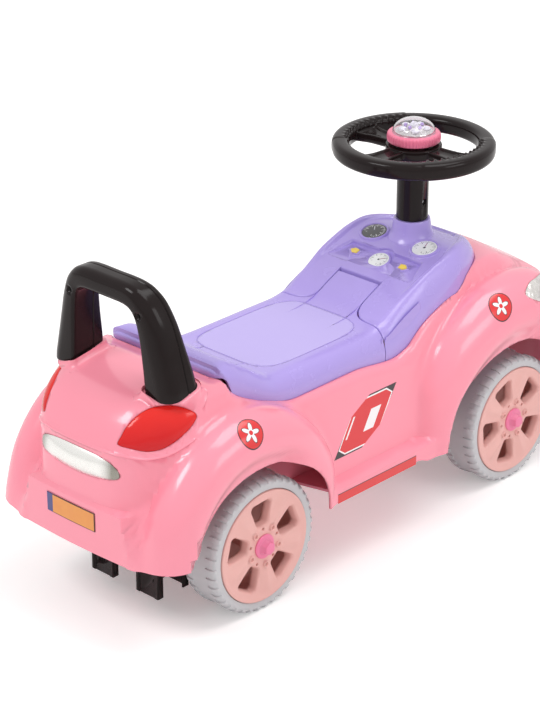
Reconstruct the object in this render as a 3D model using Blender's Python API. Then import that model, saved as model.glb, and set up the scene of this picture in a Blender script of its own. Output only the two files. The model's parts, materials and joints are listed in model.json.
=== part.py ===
"""Kids push car: a moulded plastic body on four wheels, with a steering wheel, a lift-up seat
and a push handle. Metres, +X is the car's right side, +Y is forward, +Z is up.
The origin is on the floor, in the middle of the car's box."""
import math

import bmesh
import bpy
import numpy as np
from mathutils import Matrix, Vector

# Overall places, along the car and above the floor
GAP = 0.0003
REAR_AXLE_Y = -0.180
FRONT_AXLE_Y = 0.230
TAIL_Y = -0.337
NOSE_Y = 0.352
BODY_WALL = 0.003
SEAM_HALF_WIDTH = 0.0845
SEAM_REAR_Y = -0.2125
SEAM_FRONT_Y = 0.2395
TAIL_TOP_Z = 0.2145

# Road wheels
TYRE_RADIUS = 0.075
TYRE_WIDTH = 0.046
TRACK_HALF = 0.091
TYRE_SECTION = 0.0122
RIM_RADIUS = TYRE_RADIUS - TYRE_SECTION
WINDOW_INNER_RADIUS = 0.028
WINDOW_MARGIN = 0.0128
HUB_WALL = 0.003
AXLE_RADIUS = 0.004
HUB_BORE_CLEARANCE = 0.0004
AXLE_Z = TYRE_RADIUS
TYRE_FACETS = 28
REAR_ARCH_RADIUS = 0.094
FRONT_ARCH_RADIUS = 0.097
FRONT_ARCH_SWEEP = 0.027

# Seat lid, storage tub and dashboard
PART_GAP = 0.0006
LID_FRONT_Y = 0.0438
TONGUE_HALF_WIDTH = 0.0302
TONGUE_FRONT_Y = 0.0895
FINGER_GAP = 0.0045
COVER_WALL = 0.003
SKIRT_DEPTH = 0.003
HINGE_Y = -0.2075
HINGE_Z = 0.2665
HINGE_PIN_RADIUS = 0.0018
HINGE_LUG_X = 0.020
HINGE_LUG_WIDTH = 0.006
HINGE_EYE_RADIUS = 0.0042
HINGE_EYE_OFFSET = 0.010
TUB_HALF_WIDTH = 0.0655
TUB_REAR_Y = -0.160
TUB_FRONT_Y = 0.034
TUB_WALL = 0.0025
TUB_FLANGE_HALF_WIDTH = 0.0812

# Dashboard dials
GAUGE_X = 0.0371
GAUGE_Y = 0.157
GAUGE_RADIUS = 0.0145
MIDDLE_GAUGE_RADIUS = 0.0125
GAUGE_THICKNESS = 0.0022
TRAY_Y = 0.1226
TRAY_DEPTH = 0.0036
TRAY_HALF_WIDTH = 0.052
TRAY_HALF_LENGTH = 0.015
ARROW_X = 0.0364

# Floor pan and running gear
SILL_HALF_WIDTH = 0.1215
PAN_SIDE_ROOM = 0.001
PAN_HALF_WIDTH = SILL_HALF_WIDTH - 2 * BODY_WALL - PAN_SIDE_ROOM
PAN_TYRE_ROOM = 0.008
PAN_TAIL_HALF_WIDTH = TRACK_HALF - TYRE_WIDTH / 2 - PAN_TYRE_ROOM
PAN_REAR_Y = TAIL_Y + BODY_WALL + 0.009
PAN_FRONT_Y = NOSE_Y - BODY_WALL - 0.029
PAN_NOSE_HALF_WIDTH = 0.026
PAN_Z = 0.098
PAN_THICKNESS = 0.003
KING_PIN_X = 0.052
KING_PIN_RADIUS = 0.0025
KNUCKLE_RADIUS = 0.007
STEER_ARM = 0.018
STEER_ARM_Z = 0.0555
LINK_THICKNESS = 0.0035
AXLE_END_X = 0.1122
BEAM_HALF_DEPTH = 0.0075
BEAM_LOW_Z = 0.040
PEG_RADIUS = 0.002

PAN_SCREWS = ((-0.050, -0.125), (0.050, -0.125), (-0.050, 0.010), (0.050, 0.010))
STOPPER_INNER = 0.0175
STOPPER_OUTER = 0.0505
STOPPER_REAR_Y = -0.273
STOPPER_FRONT_Y = -0.228
STOPPER_Z = 0.0235
STOPPER_WALL = 0.0025
SCREW_SHANK_RADIUS = 0.0017
SCREW_HOLE_RADIUS = 0.0021
SCREW_HEAD_RADIUS = 0.004
SCREW_HEAD_HEIGHT = 0.0022

# Steering
COLUMN_Y = 0.178
COLUMN_ROD_RADIUS = 0.005
COLUMN_TUBE_RADIUS = 0.0179
CONE_BASE_RADIUS = 0.0226
CONE_TOP_RADIUS = 0.020
CONE_TOP_Z = 0.308
CROSS_SCREW_RISE = 0.022
WHEEL_RADIUS = 0.091
WHEEL_RIM_WIDTH = 0.020
WHEEL_Z = 0.382
WHEEL_DEPTH = 0.020
HUB_CUP_RADIUS = 0.0315
KNOB_RADIUS = 0.0301
KNOB_STEM_RADIUS = 0.0160
KNOB_RISE = 0.0165
KNOB_Z = WHEEL_Z + KNOB_RISE
KNOB_HEIGHT = 0.0105
DOME_RADIUS = 0.024
DOME_HEIGHT = 0.0155
BUTTON_TRAVEL = 0.0025

# Push handle
HANDLE_REAR_Y = -0.2865
HANDLE_FRONT_Y = -0.243
HANDLE_TOP_Z = 0.379
HANDLE_SCREW_RADIUS = 0.0026
HANDLE_SCREW_X = 0.050
HANDLE_SCREW_Z = 0.350
LEG_INNER_X = 0.0515
LEG_OUTER_X = 0.0885
LEG_FOOT_Z = 0.2672

SIDES = ((-1, "left"), (1, "right"))

# Trim
TRIM_SUNK = 0.0010
TRIM_PROUD = 0.0014
POCKET_REACH = 0.012
PLATE_HALF_WIDTH = 0.033
PLATE_HEIGHT = 0.017
BUMPER_TOP_Z = 0.1545


def clear_scene():
    """Remove whatever the scene starts with."""
    for item in list(bpy.data.objects):
        bpy.data.objects.remove(item, do_unlink=True)


# Smooth maths for the moulded forms

def curve(value, *knots):
    """A smooth curve through (place, height) knots, level beyond its ends."""
    places = np.array([knot[0] for knot in knots], float)
    heights = np.array([knot[1] for knot in knots], float)
    chords = np.diff(heights) / np.diff(places)
    slopes = np.zeros(len(places))
    before = chords[:-1]
    after = chords[1:]
    rising = before * after > 0
    both = np.where(rising, before + after, 1.0)
    slopes[1:-1] = np.where(rising, 2 * before * after / both, 0.0)
    value = np.clip(value, places[0], places[-1])
    index = np.clip(np.searchsorted(places, value) - 1, 0, len(places) - 2)
    width = places[index + 1] - places[index]
    t = (value - places[index]) / width
    return ((2 * t ** 3 - 3 * t ** 2 + 1) * heights[index]
            + (t ** 3 - 2 * t ** 2 + t) * width * slopes[index]
            + (3 * t ** 2 - 2 * t ** 3) * heights[index + 1]
            + (t ** 3 - t ** 2) * width * slopes[index + 1])


def step(value, low, high):
    """A smooth step from 0 to 1."""
    t = np.clip((value - low) / (high - low), 0.0, 1.0)
    return t * t * (3 - 2 * t)


def smooth_max(a, b, radius):
    """The larger of two values, blended where they are close."""
    close = np.maximum(radius - np.abs(a - b), 0.0) / radius
    return np.maximum(a, b) + close * close * radius / 4


def smooth_min(a, b, radius):
    """The smaller of two values, blended where they are close."""
    return -smooth_max(-a, -b, radius)


# The body's outer form

def tail_y(x):
    """Where the tail's crease line lies, in plan."""
    return TAIL_Y + 2.5 * x ** 2 + 450 * x ** 4


def seam_height(y):
    """Height of the pink rim along the sides of the seat and the dashboard."""
    return curve(y, (-0.25, 0.31), (-0.2125, 0.272), (-0.20, 0.2515), (-0.18, 0.237), (-0.15, 0.2205),
                 (-0.097, 0.2085), (-0.013, 0.209), (0.05, 0.2025), (0.072, 0.2075), (0.10, 0.228),
                 (0.13, 0.243), (0.155, 0.2575), (0.175, 0.272), (0.20, 0.295), (0.23, 0.32))


def top_height(x, y):
    """The body's upper surface: rear deck, rim beside the seat, and hood."""
    ahead = y - tail_y(x)
    rise = np.where(ahead > 0, 0.058 * (1 - np.exp(-np.maximum(ahead, 0) / 0.024)), 2.0 * ahead)
    deck = TAIL_TOP_Z + rise - 0.007 * step(y, -0.24, SEAM_REAR_Y)
    hood = curve(y, (0.14, 0.281), (0.19, 0.280), (0.215, 0.277), (0.244, 0.2705), (0.2914, 0.2467),
                 (0.325, 0.227), (0.345, 0.210), (0.37, 0.18)) - 1.6 * x ** 2
    return smooth_min(smooth_min(deck, seam_height(y), 0.004), hood, 0.006)


def fender(x, y, z, axle_y, crest, centre_x, half_x, half_r):
    """A rounded bulge that follows the wheel: its crest radius changes with the angle."""
    along = y - axle_y
    up = z - AXLE_Z
    angle = np.degrees(np.arctan2(up, along))
    angle = np.where(angle < -90, angle + 360, angle)
    radius = np.hypot(along, up)
    tall = curve(angle, *half_r)
    wide = curve(angle, *half_x)
    middle = curve(angle, *crest) - tall
    across = (x - curve(angle, *centre_x)) / wide
    outward = np.maximum(radius - middle, 0.0) / tall
    return (np.hypot(across, outward) - 1) * np.minimum(tall, wide)


def round_box(x, y, z, centre, half, radius):
    """Signed distance to a box with rounded edges."""
    dx = np.abs(x - centre[0]) - half[0] + radius
    dy = np.abs(y - centre[1]) - half[1] + radius
    dz = np.abs(z - centre[2]) - half[2] + radius
    outside = np.sqrt(np.maximum(dx, 0) ** 2 + np.maximum(dy, 0) ** 2 + np.maximum(dz, 0) ** 2)
    return outside + np.minimum(np.maximum(dx, np.maximum(dy, dz)), 0) - radius


def body_form(points):
    """Signed form value of the whole pink body: below zero is inside."""
    x = np.abs(points[..., 0])
    y = points[..., 1]
    z = points[..., 2]
    half = (0.105 - 0.13 * (z - 0.11) + 0.008 * step(-y, 0.17, 0.23)
            - step(z, 0.20, 0.235) * curve(y, (0.11, 0.0), (0.16, 0.006), (0.25, 0.012), (0.34, 0.028)))
    side = x - half
    top = (z - top_height(x, y)) * 0.85
    face = tail_y(x) + 0.003 * step(-z, -0.2145, -0.2095) - 0.04 * np.maximum(0.2 - z, 0) - y
    nose = y - (NOSE_Y - 2.2 * x ** 2 - 260 * x ** 4)
    cabin = smooth_max(smooth_max(side, top, 0.016), smooth_max(face * 0.9, nose, 0.01), 0.014)
    sill = round_box(x, y, z, (SILL_HALF_WIDTH - 0.0215, 0.0, 0.080), (0.0215, 0.12, 0.0275), 0.003)
    sill = np.maximum(sill, (z - 0.104 - 0.5 * (0.12 - x)) * 0.9)
    rear = fender(x, y, z, REAR_AXLE_Y,
                  ((-25, 0.108), (10, 0.112), (38, 0.1268), (56, 0.1372), (86, 0.155), (107, 0.164),
                   (121, 0.1672), (142, 0.1645), (162, 0.156), (180, 0.151), (200, 0.148)),
                  ((0, 0.101), (40, 0.103), (180, 0.104)),
                  ((0, 0.0225), (40, 0.028), (90, 0.030), (180, 0.030)),
                  ((0, 0.022), (50, 0.032), (90, 0.036), (180, 0.036)))
    front = fender(x, y, z, FRONT_AXLE_Y,
                   ((-25, 0.124), (0, 0.126), (30, 0.142), (60, 0.164), (80, 0.176), (100, 0.177),
                    (128, 0.177), (147, 0.172), (160, 0.164), (177, 0.155), (200, 0.150)),
                   ((0, 0.092), (90, 0.090), (150, 0.091), (180, 0.094)),
                   ((0, 0.042), (90, 0.045), (140, 0.040), (180, 0.030)),
                   ((0, 0.034), (60, 0.048), (130, 0.048), (180, 0.028)))
    platform = round_box(x, y - 2.6 * x ** 2, z, (0.0, -0.325, 0.110),
                         (0.0760 - 0.25 * (z - 0.137), 0.027, BUMPER_TOP_Z - 0.110), 0.003)
    chin = round_box(x, y + 2.2 * x ** 2, z, (0.0, 0.325, 0.105), (0.085, 0.030, 0.030), 0.006)
    form = smooth_min(cabin, rear, 0.016)
    form = smooth_min(form, front, 0.012)
    form = smooth_min(form, sill, 0.004)
    form = smooth_min(form, platform, 0.005)
    return smooth_min(form, chin, 0.01)


def first_hit(starts, directions, reach=0.22, level=0.0):
    """Where rays that start inside the body leave it, or a layer at some depth below its surface."""
    steps = np.linspace(0.0, reach, 180)
    values = body_form(starts[:, None, :] + directions[:, None, :] * steps[None, :, None])
    outside = values > level
    index = np.where(outside.any(axis=1), outside.argmax(axis=1), len(steps) - 1)
    low = steps[np.maximum(index - 1, 0)]
    high = steps[index]
    for _ in range(26):
        middle = (low + high) / 2
        inside = body_form(starts + directions * middle[:, None]) < level
        low = np.where(inside, middle, low)
        high = np.where(inside, high, middle)
    return starts + directions * ((low + high) / 2)[:, None]


def opening_outline(inset=0.0, side_steps=10, round_steps=8):
    """Right half of the seat and dashboard opening, from the rear centre to the front centre."""
    half = SEAM_HALF_WIDTH - inset
    rear = SEAM_REAR_Y + inset
    corner = 0.018
    front_start = 0.140
    front = SEAM_FRONT_Y - inset - front_start
    points = [(0.0, rear), (half * 0.4, rear)]
    points += arc((half - corner, rear + corner), corner, -90, 0, round_steps // 2)
    for index in range(1, side_steps):
        points.append((half, rear + corner + (front_start - rear - corner) * index / side_steps))
    for index in range(round_steps):
        angle = math.pi / 2 * index / round_steps
        points.append((half * math.cos(angle) ** 0.75, front_start + front * math.sin(angle)))
    return points + [(0.0, SEAM_FRONT_Y - inset)]


# Mesh helpers

def material(name, colour, roughness=0.35, metallic=0.0, coat=0.0):
    """One named finish."""
    made = bpy.data.materials.new(name)
    made.use_nodes = True
    shader = made.node_tree.nodes["Principled BSDF"]
    shader.inputs["Base Color"].default_value = (*colour, 1.0)
    shader.inputs["Roughness"].default_value = roughness
    shader.inputs["Metallic"].default_value = metallic
    shader.inputs["Coat Weight"].default_value = coat
    made.diffuse_color = (*colour, 1.0)
    return made


def face_out(mesh):
    """Turn the faces of one closed shape outward."""
    bmesh.ops.recalc_face_normals(mesh, faces=mesh.faces[:])
    if mesh.calc_volume(signed=True) < 0:
        bmesh.ops.reverse_faces(mesh, faces=mesh.faces[:])
    return mesh


def node(name, mesh, finish=None, origin=(0.0, 0.0, 0.0), smooth=math.radians(35)):
    """Make a named object from a bmesh in world space, with its origin at a given place."""
    mesh.transform(Matrix.Translation(-Vector(origin)))
    data = bpy.data.meshes.new(name)
    mesh.to_mesh(data)
    mesh.free()
    data.shade_smooth()
    data.set_sharp_from_angle(angle=smooth)
    if finish:
        data.materials.append(finish)
    made = bpy.data.objects.new(name, data)
    made.location = origin
    bpy.context.scene.collection.objects.link(made)
    return made


def pivot(name, place):
    """An empty on a joint's axis."""
    made = bpy.data.objects.new(name, None)
    made.location = place
    bpy.context.scene.collection.objects.link(made)
    return made


def carry(parent, *pieces):
    """Parent pieces to an empty without moving them."""
    for piece in pieces:
        piece.location = piece.location - parent.location
        piece.parent = parent


def cutter(name, mesh):
    """A hidden tool for a Boolean."""
    made = node(name, mesh)
    made.hide_render = True
    made.display_type = "WIRE"
    return made


def boolean(target, tool, operation="DIFFERENCE"):
    """Add a Boolean to a piece."""
    made = target.modifiers.new(tool.name, "BOOLEAN")
    made.operation = operation
    made.object = tool


def join(*meshes):
    """Put several bmeshes into one."""
    whole = bmesh.new()
    for mesh in meshes:
        data = bpy.data.meshes.new("join")
        mesh.to_mesh(data)
        mesh.free()
        whole.from_mesh(data)
        bpy.data.meshes.remove(data)
    return whole


def box(low, high, bevel=0.0):
    """A box between two corners, with bevelled edges."""
    mesh = bmesh.new()
    bmesh.ops.create_cube(mesh, size=1.0)
    size = [high[axis] - low[axis] for axis in range(3)]
    centre = [(high[axis] + low[axis]) / 2 for axis in range(3)]
    bmesh.ops.scale(mesh, vec=size, verts=mesh.verts)
    bmesh.ops.translate(mesh, vec=centre, verts=mesh.verts)
    if bevel:
        bmesh.ops.bevel(mesh, geom=mesh.edges[:], offset=bevel, segments=1, profile=0.5,
                        affect="EDGES", material=-1)
    return mesh


AXES = {"X": Matrix(((0, 0, 1), (1, 0, 0), (0, 1, 0))).to_4x4(),
        "Y": Matrix(((0, 1, 0), (0, 0, 1), (1, 0, 0))).to_4x4(),
        "Z": Matrix.Identity(4)}


def prism(outline, low, high, axis="Z"):
    """Extrude an outline along an axis. Along X the outline is (y, z), along Y it is (z, x)."""
    mesh = bmesh.new()
    face = mesh.faces.new([mesh.verts.new((u, v, low)) for u, v in outline])
    lifted = bmesh.ops.extrude_face_region(mesh, geom=[face])
    top = [item for item in lifted["geom"] if isinstance(item, bmesh.types.BMVert)]
    bmesh.ops.translate(mesh, vec=(0, 0, high - low), verts=top)
    mesh.transform(AXES[axis])
    return face_out(mesh)


def turned(profile, place, axis="Z", segments=24):
    """Turn a closed (radius, height) profile about an axis through a place."""
    mesh = bmesh.new()
    verts = [mesh.verts.new((radius, 0, height)) for radius, height in profile]
    edges = [mesh.edges.new((verts[index], verts[(index + 1) % len(verts)]))
             for index in range(len(verts))
             if max(profile[index][0], profile[(index + 1) % len(verts)][0]) > 1e-7]
    bmesh.ops.spin(mesh, geom=verts + edges, cent=(0, 0, 0), axis=(0, 0, 1), angle=math.tau,
                   steps=segments, use_merge=True, use_duplicate=False)
    bmesh.ops.remove_doubles(mesh, verts=mesh.verts[:], dist=1e-6)
    mesh.transform(Matrix.Translation(place) @ AXES[axis])
    return face_out(mesh)


def rod(radius, low, high, place, axis="Z", segments=16, chamfer=0.0):
    """A solid round bar."""
    return turned([(0, low), (radius - chamfer, low), (radius, low + chamfer),
                   (radius, high - chamfer), (radius - chamfer, high), (0, high)]
                  if chamfer else [(0, low), (radius, low), (radius, high), (0, high)],
                  place, axis, segments)


def ring(inner, outer, low, high, place, axis="Z", segments=24):
    """A plain tube or washer."""
    return turned([(inner, low), (outer, low), (outer, high), (inner, high)], place, axis, segments)


def slab(across, along, top, bottom):
    """A closed solid under a height field: top(x, y) over a grid, with a bottom(y) below it."""
    mesh = bmesh.new()
    grid = [[mesh.verts.new((x, y, float(top(x, y)))) for x in across] for y in along]
    below = [(mesh.verts.new((across[0], y, float(bottom(y)))),
              mesh.verts.new((across[-1], y, float(bottom(y))))) for y in along]
    for row in range(len(along) - 1):
        for column in range(len(across) - 1):
            mesh.faces.new((grid[row][column], grid[row][column + 1],
                            grid[row + 1][column + 1], grid[row + 1][column]))
        mesh.faces.new((below[row][0], below[row][1], below[row + 1][1], below[row + 1][0]))
        mesh.faces.new((grid[row][0], grid[row + 1][0], below[row + 1][0], below[row][0]))
        mesh.faces.new((grid[row][-1], grid[row + 1][-1], below[row + 1][1], below[row][1]))
    for row in (0, -1):
        mesh.faces.new(grid[row] + [below[row][1], below[row][0]])
    bmesh.ops.triangulate(mesh, faces=[face for face in mesh.faces if len(face.verts) == 4])
    return face_out(mesh)


def mirror_outline(half):
    """Close a right half outline with its mirror image."""
    return half + [(-x, y) for x, y in reversed(half) if abs(x) > 1e-6]


def arc(centre, radius, start, end, steps):
    """Points on an arc, with its angles in degrees."""
    return [(centre[0] + radius * math.cos(math.radians(start + (end - start) * index / steps)),
             centre[1] + radius * math.sin(math.radians(start + (end - start) * index / steps)))
            for index in range(steps + 1)]


# Body

def perimeter(side_steps, end_steps, corner_steps):
    """Bases and directions, in plan, of the body's grid columns, once round the car."""
    half = 0.078
    rear = -0.240
    front = 0.225
    columns = []
    for index in range(side_steps):
        columns.append((half, rear + (front - rear) * index / side_steps, 0.0))
    for index in range(corner_steps):
        columns.append((half, front, 90.0 * index / corner_steps))
    for index in range(end_steps):
        columns.append((half - 2 * half * index / end_steps, front, 90.0))
    for index in range(corner_steps):
        columns.append((-half, front, 90 + 90.0 * index / corner_steps))
    for index in range(side_steps):
        columns.append((-half, front + (rear - front) * index / side_steps, 180.0))
    for index in range(corner_steps):
        columns.append((-half, rear, 180 + 90.0 * index / corner_steps))
    for index in range(end_steps):
        columns.append((-half + 2 * half * index / end_steps, rear, 270.0))
    for index in range(corner_steps):
        columns.append((half, rear, 270 + 90.0 * index / corner_steps))
    return columns


def bottom_height(x, y):
    """Height of the body's bottom edge."""
    x = abs(x)
    along = curve(y, (-0.25, 0.0865), (-0.10, 0.085), (-0.06, 0.089), (0.055, 0.089),
                  (0.075, 0.083), (0.25, 0.083))
    behind = step(-y, 0.25, 0.30) * step(-x, -0.12, -0.08)
    return float(along + 0.013 * behind)


def rim_target(x, y, outline):
    """The point of an outline that lies nearest to a place outside it."""
    side = math.copysign(1.0, x)
    place = np.array([abs(x), y])
    starts = outline[:-1]
    spans = outline[1:] - starts
    part = ((place - starts) * spans).sum(axis=1) / (spans ** 2).sum(axis=1)
    nearest = starts + spans * np.clip(part, 0.0, 1.0)[:, None]
    best = nearest[np.argmin(((nearest - place) ** 2).sum(axis=1))]
    return side * best[0], best[1]


def body_shell(finish):
    """The pink shell: one moulding, open below, cut for the wheels, the seat and the dashboard."""
    middle_z = 0.145
    columns = perimeter(18, 6, 6)
    rim = np.array(opening_outline(0.006, 24, 12))
    starts = []
    directions = []
    rows = 0
    for x, y, degrees in columns:
        plan = np.array([math.cos(math.radians(degrees)), math.sin(math.radians(degrees)), 0.0])
        probe = first_hit(np.array([[x, y, 0.11]]), plan[None, :])[0]
        low = bottom_height(probe[0], probe[1])
        heights = [low, 0.1035, 0.112, 0.127]
        target = rim_target(x + 0.05 * plan[0], y + 0.05 * plan[1], rim)
        inside = np.array([target[0], target[1], float(top_height(abs(target[0]), target[1]))])
        towards = inside - np.array([x, y, middle_z])
        towards /= np.linalg.norm(towards)
        turn = math.acos(max(-1.0, min(1.0, float(plan @ towards))))
        slants = [0.0, 0.12, 0.25, 0.39, 0.53, 0.66, 0.78, 0.89, 1.0]
        column = [(np.array([x, y, height]), plan) for height in heights]
        for part in slants:
            mixed = (math.sin((1 - part) * turn) * plan + math.sin(part * turn) * towards) / math.sin(turn)
            column.append((np.array([x, y, middle_z]), mixed))
        starts += [start for start, _ in column]
        directions += [direction for _, direction in column]
        rows = len(column)
    mesh = bmesh.new()
    skins = []
    for level in (0.0, -BODY_WALL):
        points = first_hit(np.array(starts), np.array(directions), level=level)
        skins.append([[mesh.verts.new(point) for point in column]
                      for column in points.reshape(len(columns), rows, 3)])
    for index in range(len(columns)):
        after = (index + 1) % len(columns)
        for grid in skins:
            for row in range(rows - 1):
                corners = [grid[index][row], grid[after][row], grid[after][row + 1], grid[index][row + 1]]
                if columns[index][0] + columns[after][0] < 0:
                    corners = corners[1:] + corners[:1]
                mesh.faces.new(corners[:3])
                mesh.faces.new((corners[0], corners[2], corners[3]))
        for row in (0, rows - 1):
            mesh.faces.new((skins[0][index][row], skins[0][after][row],
                            skins[1][after][row], skins[1][index][row]))
    shell = node("body_shell", face_out(mesh), finish)
    boolean(shell, cutter("opening_cutter", prism(mirror_outline(opening_outline()), 0.15, 0.34)))
    arches = []
    for side in (-1, 1):
        inner = 0.088 * side
        outer = 0.20 * side
        arches.append(prism(arc((REAR_AXLE_Y, AXLE_Z), REAR_ARCH_RADIUS, 0, 360, 32)[:-1],
                            min(inner, outer), max(inner, outer), "X"))
        outline = []
        for index in range(32):
            angle = 360 * index / 32
            spread = FRONT_ARCH_SWEEP * float(step(angle, 95, 165)) * float(step(-angle, -260, -200))
            radius = FRONT_ARCH_RADIUS + spread
            outline.append((FRONT_AXLE_Y + radius * math.cos(math.radians(angle)),
                            AXLE_Z + radius * math.sin(math.radians(angle))))
        arches.append(prism(outline, min(inner, outer), max(inner, outer), "X"))
    boolean(shell, cutter("arch_cutter", join(*arches)))
    bosses = [prism([(side * x, y) for x, y in leg_section(0.002)], 0.226, 0.30) for side in (1, -1)]
    under = join(*[leg_plane_block(side, 0.0, 0.10) for side in (1, -1)])
    boss = cutter("boss_tool", join(*bosses))
    boolean(boss, cutter("boss_trim", under))
    boolean(shell, boss, "UNION")
    return shell


# Push handle

def leg_section(grow=0.0):
    """Plan outline of the right handle leg where it meets the body."""
    inner = LEG_INNER_X - grow
    outer = LEG_OUTER_X + grow
    rear = HANDLE_REAR_Y - grow
    front = HANDLE_FRONT_Y + grow
    return (arc((inner + 0.006, rear + 0.006), 0.006, 180, 270, 2)
            + arc((outer - 0.022, rear + 0.022), 0.022, 270, 360, 4)
            + arc((outer - 0.010, front - 0.010), 0.010, 0, 90, 2)
            + arc((inner + 0.006, front - 0.006), 0.006, 90, 180, 2))


def leg_plane(x, y):
    """Height of the sloping seat that a handle leg stands on."""
    return LEG_FOOT_Z + 0.28 * (y - HANDLE_REAR_Y) - 0.2 * (abs(x) - LEG_INNER_X)


def leg_plane_block(side, drop, depth):
    """The space above or below the sloping seat of one handle leg."""
    mesh = bmesh.new()
    corners = [(0.03, -0.31), (0.115, -0.31), (0.115, -0.22), (0.03, -0.22)]
    low = [mesh.verts.new((side * x, y, leg_plane(x, y) + drop)) for x, y in corners]
    high = [mesh.verts.new((side * x, y, leg_plane(x, y) + drop + depth)) for x, y in corners]
    mesh.faces.new(low)
    mesh.faces.new(high)
    for index in range(4):
        after = (index + 1) % 4
        mesh.faces.new((low[index], low[after], high[after], high[index]))
    return face_out(mesh)


def handle_outline():
    """Arch of the push handle seen from behind, as (z, x) points."""
    outer = [(0.0990, 0.235), (LEG_OUTER_X, LEG_FOOT_Z), (0.0765, 0.316)]
    outer += arc((0.036, HANDLE_TOP_Z - 0.035), 0.035, 20, 90, 5)
    inner = arc((0.030, HANDLE_TOP_Z - 0.0375), 0.015, 90, 15, 4)
    inner += [(0.0475, 0.315), (LEG_INNER_X, LEG_FOOT_Z), (0.0525, 0.235)]
    left = [(-x, z) for x, z in reversed(outer)] + [(-x, z) for x, z in reversed(inner)]
    return [(z, x) for x, z in outer + left + inner]


def push_handle(finish, screw_finish):
    """The black handle: two halves held by two screws from the rear."""
    split = (HANDLE_REAR_Y + HANDLE_FRONT_Y) / 2 - 0.002
    spans = {"handle_rear_half": (HANDLE_REAR_Y, split - GAP / 2, HANDLE_REAR_Y),
             "handle_front_half": (split + GAP / 2, HANDLE_FRONT_Y, HANDLE_FRONT_Y)}
    for name, (rear, front, face_y) in spans.items():
        mesh = prism(handle_outline(), rear, front, "Y")
        edges = [edge for edge in mesh.edges
                 if all(abs(vert.co.y - face_y) < 1e-6 for vert in edge.verts)]
        bmesh.ops.bevel(mesh, geom=edges, offset=0.006, segments=2, profile=0.5, affect="EDGES", material=-1)
        piece = node(name, mesh, finish)
        foot = join(*[leg_plane_block(side, GAP - 0.06, 0.06) for side in (1, -1)])
        boolean(piece, cutter(name + "_foot", foot))
        holes = [rod(HANDLE_SCREW_RADIUS + GAP, -0.30, split + 0.008, (x, 0, HANDLE_SCREW_Z), "Y", 10)
                 for x in (-HANDLE_SCREW_X, HANDLE_SCREW_X)]
        boolean(piece, cutter(name + "_screw_holes", join(*holes)))
    for side, label in SIDES:
        node("handle_screw_" + label,
             rod(HANDLE_SCREW_RADIUS, HANDLE_REAR_Y + 0.004, split + 0.0075,
                 (side * HANDLE_SCREW_X, 0, HANDLE_SCREW_Z), "Y", 10), screw_finish)


# Purple covers

def cover_crest(y):
    """Height of the middle of the seat and the dashboard."""
    return curve(y, (-0.2125, 0.2765), (-0.196, 0.2765), (-0.165, 0.2600), (-0.126, 0.2380),
                 (-0.09, 0.2365), (0.02, 0.2370), (0.045, 0.2405), (0.065, 0.2505), (0.0895, 0.2618),
                 (0.157, 0.2853), (0.178, 0.2890), (0.205, 0.2860), (0.2395, 0.274))


def cover_height(x, y):
    """Upper surface of the seat lid and the dashboard, rounded down to the pink rim."""
    x = abs(x)
    pad = curve(y, (-0.2, 0.064), (0.04, 0.064), (0.10, 0.058)) / SEAM_HALF_WIDTH
    ahead = max(y - 0.140, 0.0) / (SEAM_FRONT_Y - 0.140)
    spread = math.sqrt((x / SEAM_HALF_WIDTH) ** (2 / 0.75) + ahead ** 2)
    flat = pad ** (1 / 0.75)
    side = min(max((spread - flat) / (1 - flat), 0.0), 1.0)
    rear = min(max((-0.2005 - y) / 0.012, 0.0), 1.0)
    drop = min((side ** 4 + rear ** 4) ** 0.25, 1.0)
    rounding = 1 - (1 - drop ** 2.2) ** (1 / 2.2)
    crest = cover_crest(y)
    rim = min(top_height(np.float64(min(x, SEAM_HALF_WIDTH)), y), crest)
    return float(crest - (crest - rim) * rounding)


def cover_bottom(y):
    """Lower edge of the covers' skirts."""
    return float(top_height(np.float64(SEAM_HALF_WIDTH), y)) - SKIRT_DEPTH - 0.004 * float(step(y, 0.14, 0.2))


def tongue_side(gap):
    """The edge between lid and dashboard, from the tongue's front corner back to the side."""
    inner = TONGUE_HALF_WIDTH + gap
    fillet = 0.010
    return ([(inner, TONGUE_FRONT_Y - 0.012)]
            + arc((inner - 0.0025 + fillet, LID_FRONT_Y + gap + fillet), fillet, 180, 270, 3))


def cavity(half_width, rear, front, top, low=0.15, steps=12, inner=None):
    """The hollow under a cover, as one block or as a mirrored pair that starts at inner."""
    places = [rear + (front - rear) * index / steps for index in range(steps + 1)]
    outline = [(y, top(y)) for y in places] + [(front, low), (rear, low)]
    if inner is None:
        return prism(outline, -half_width, half_width, "X")
    return join(prism(outline, inner, half_width, "X"), prism(outline, -half_width, -inner, "X"))


def grid_places(stops, counts):
    """Places along a line, evenly spread between stops."""
    places = [stops[0]]
    for low, high, count in zip(stops, stops[1:], counts):
        places += [low + (high - low) * (index + 1) / count for index in range(count)]
    return places


def mirrored_places(half_places):
    """Places on both sides of the middle."""
    return [-place for place in reversed(half_places)] + half_places


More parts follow.
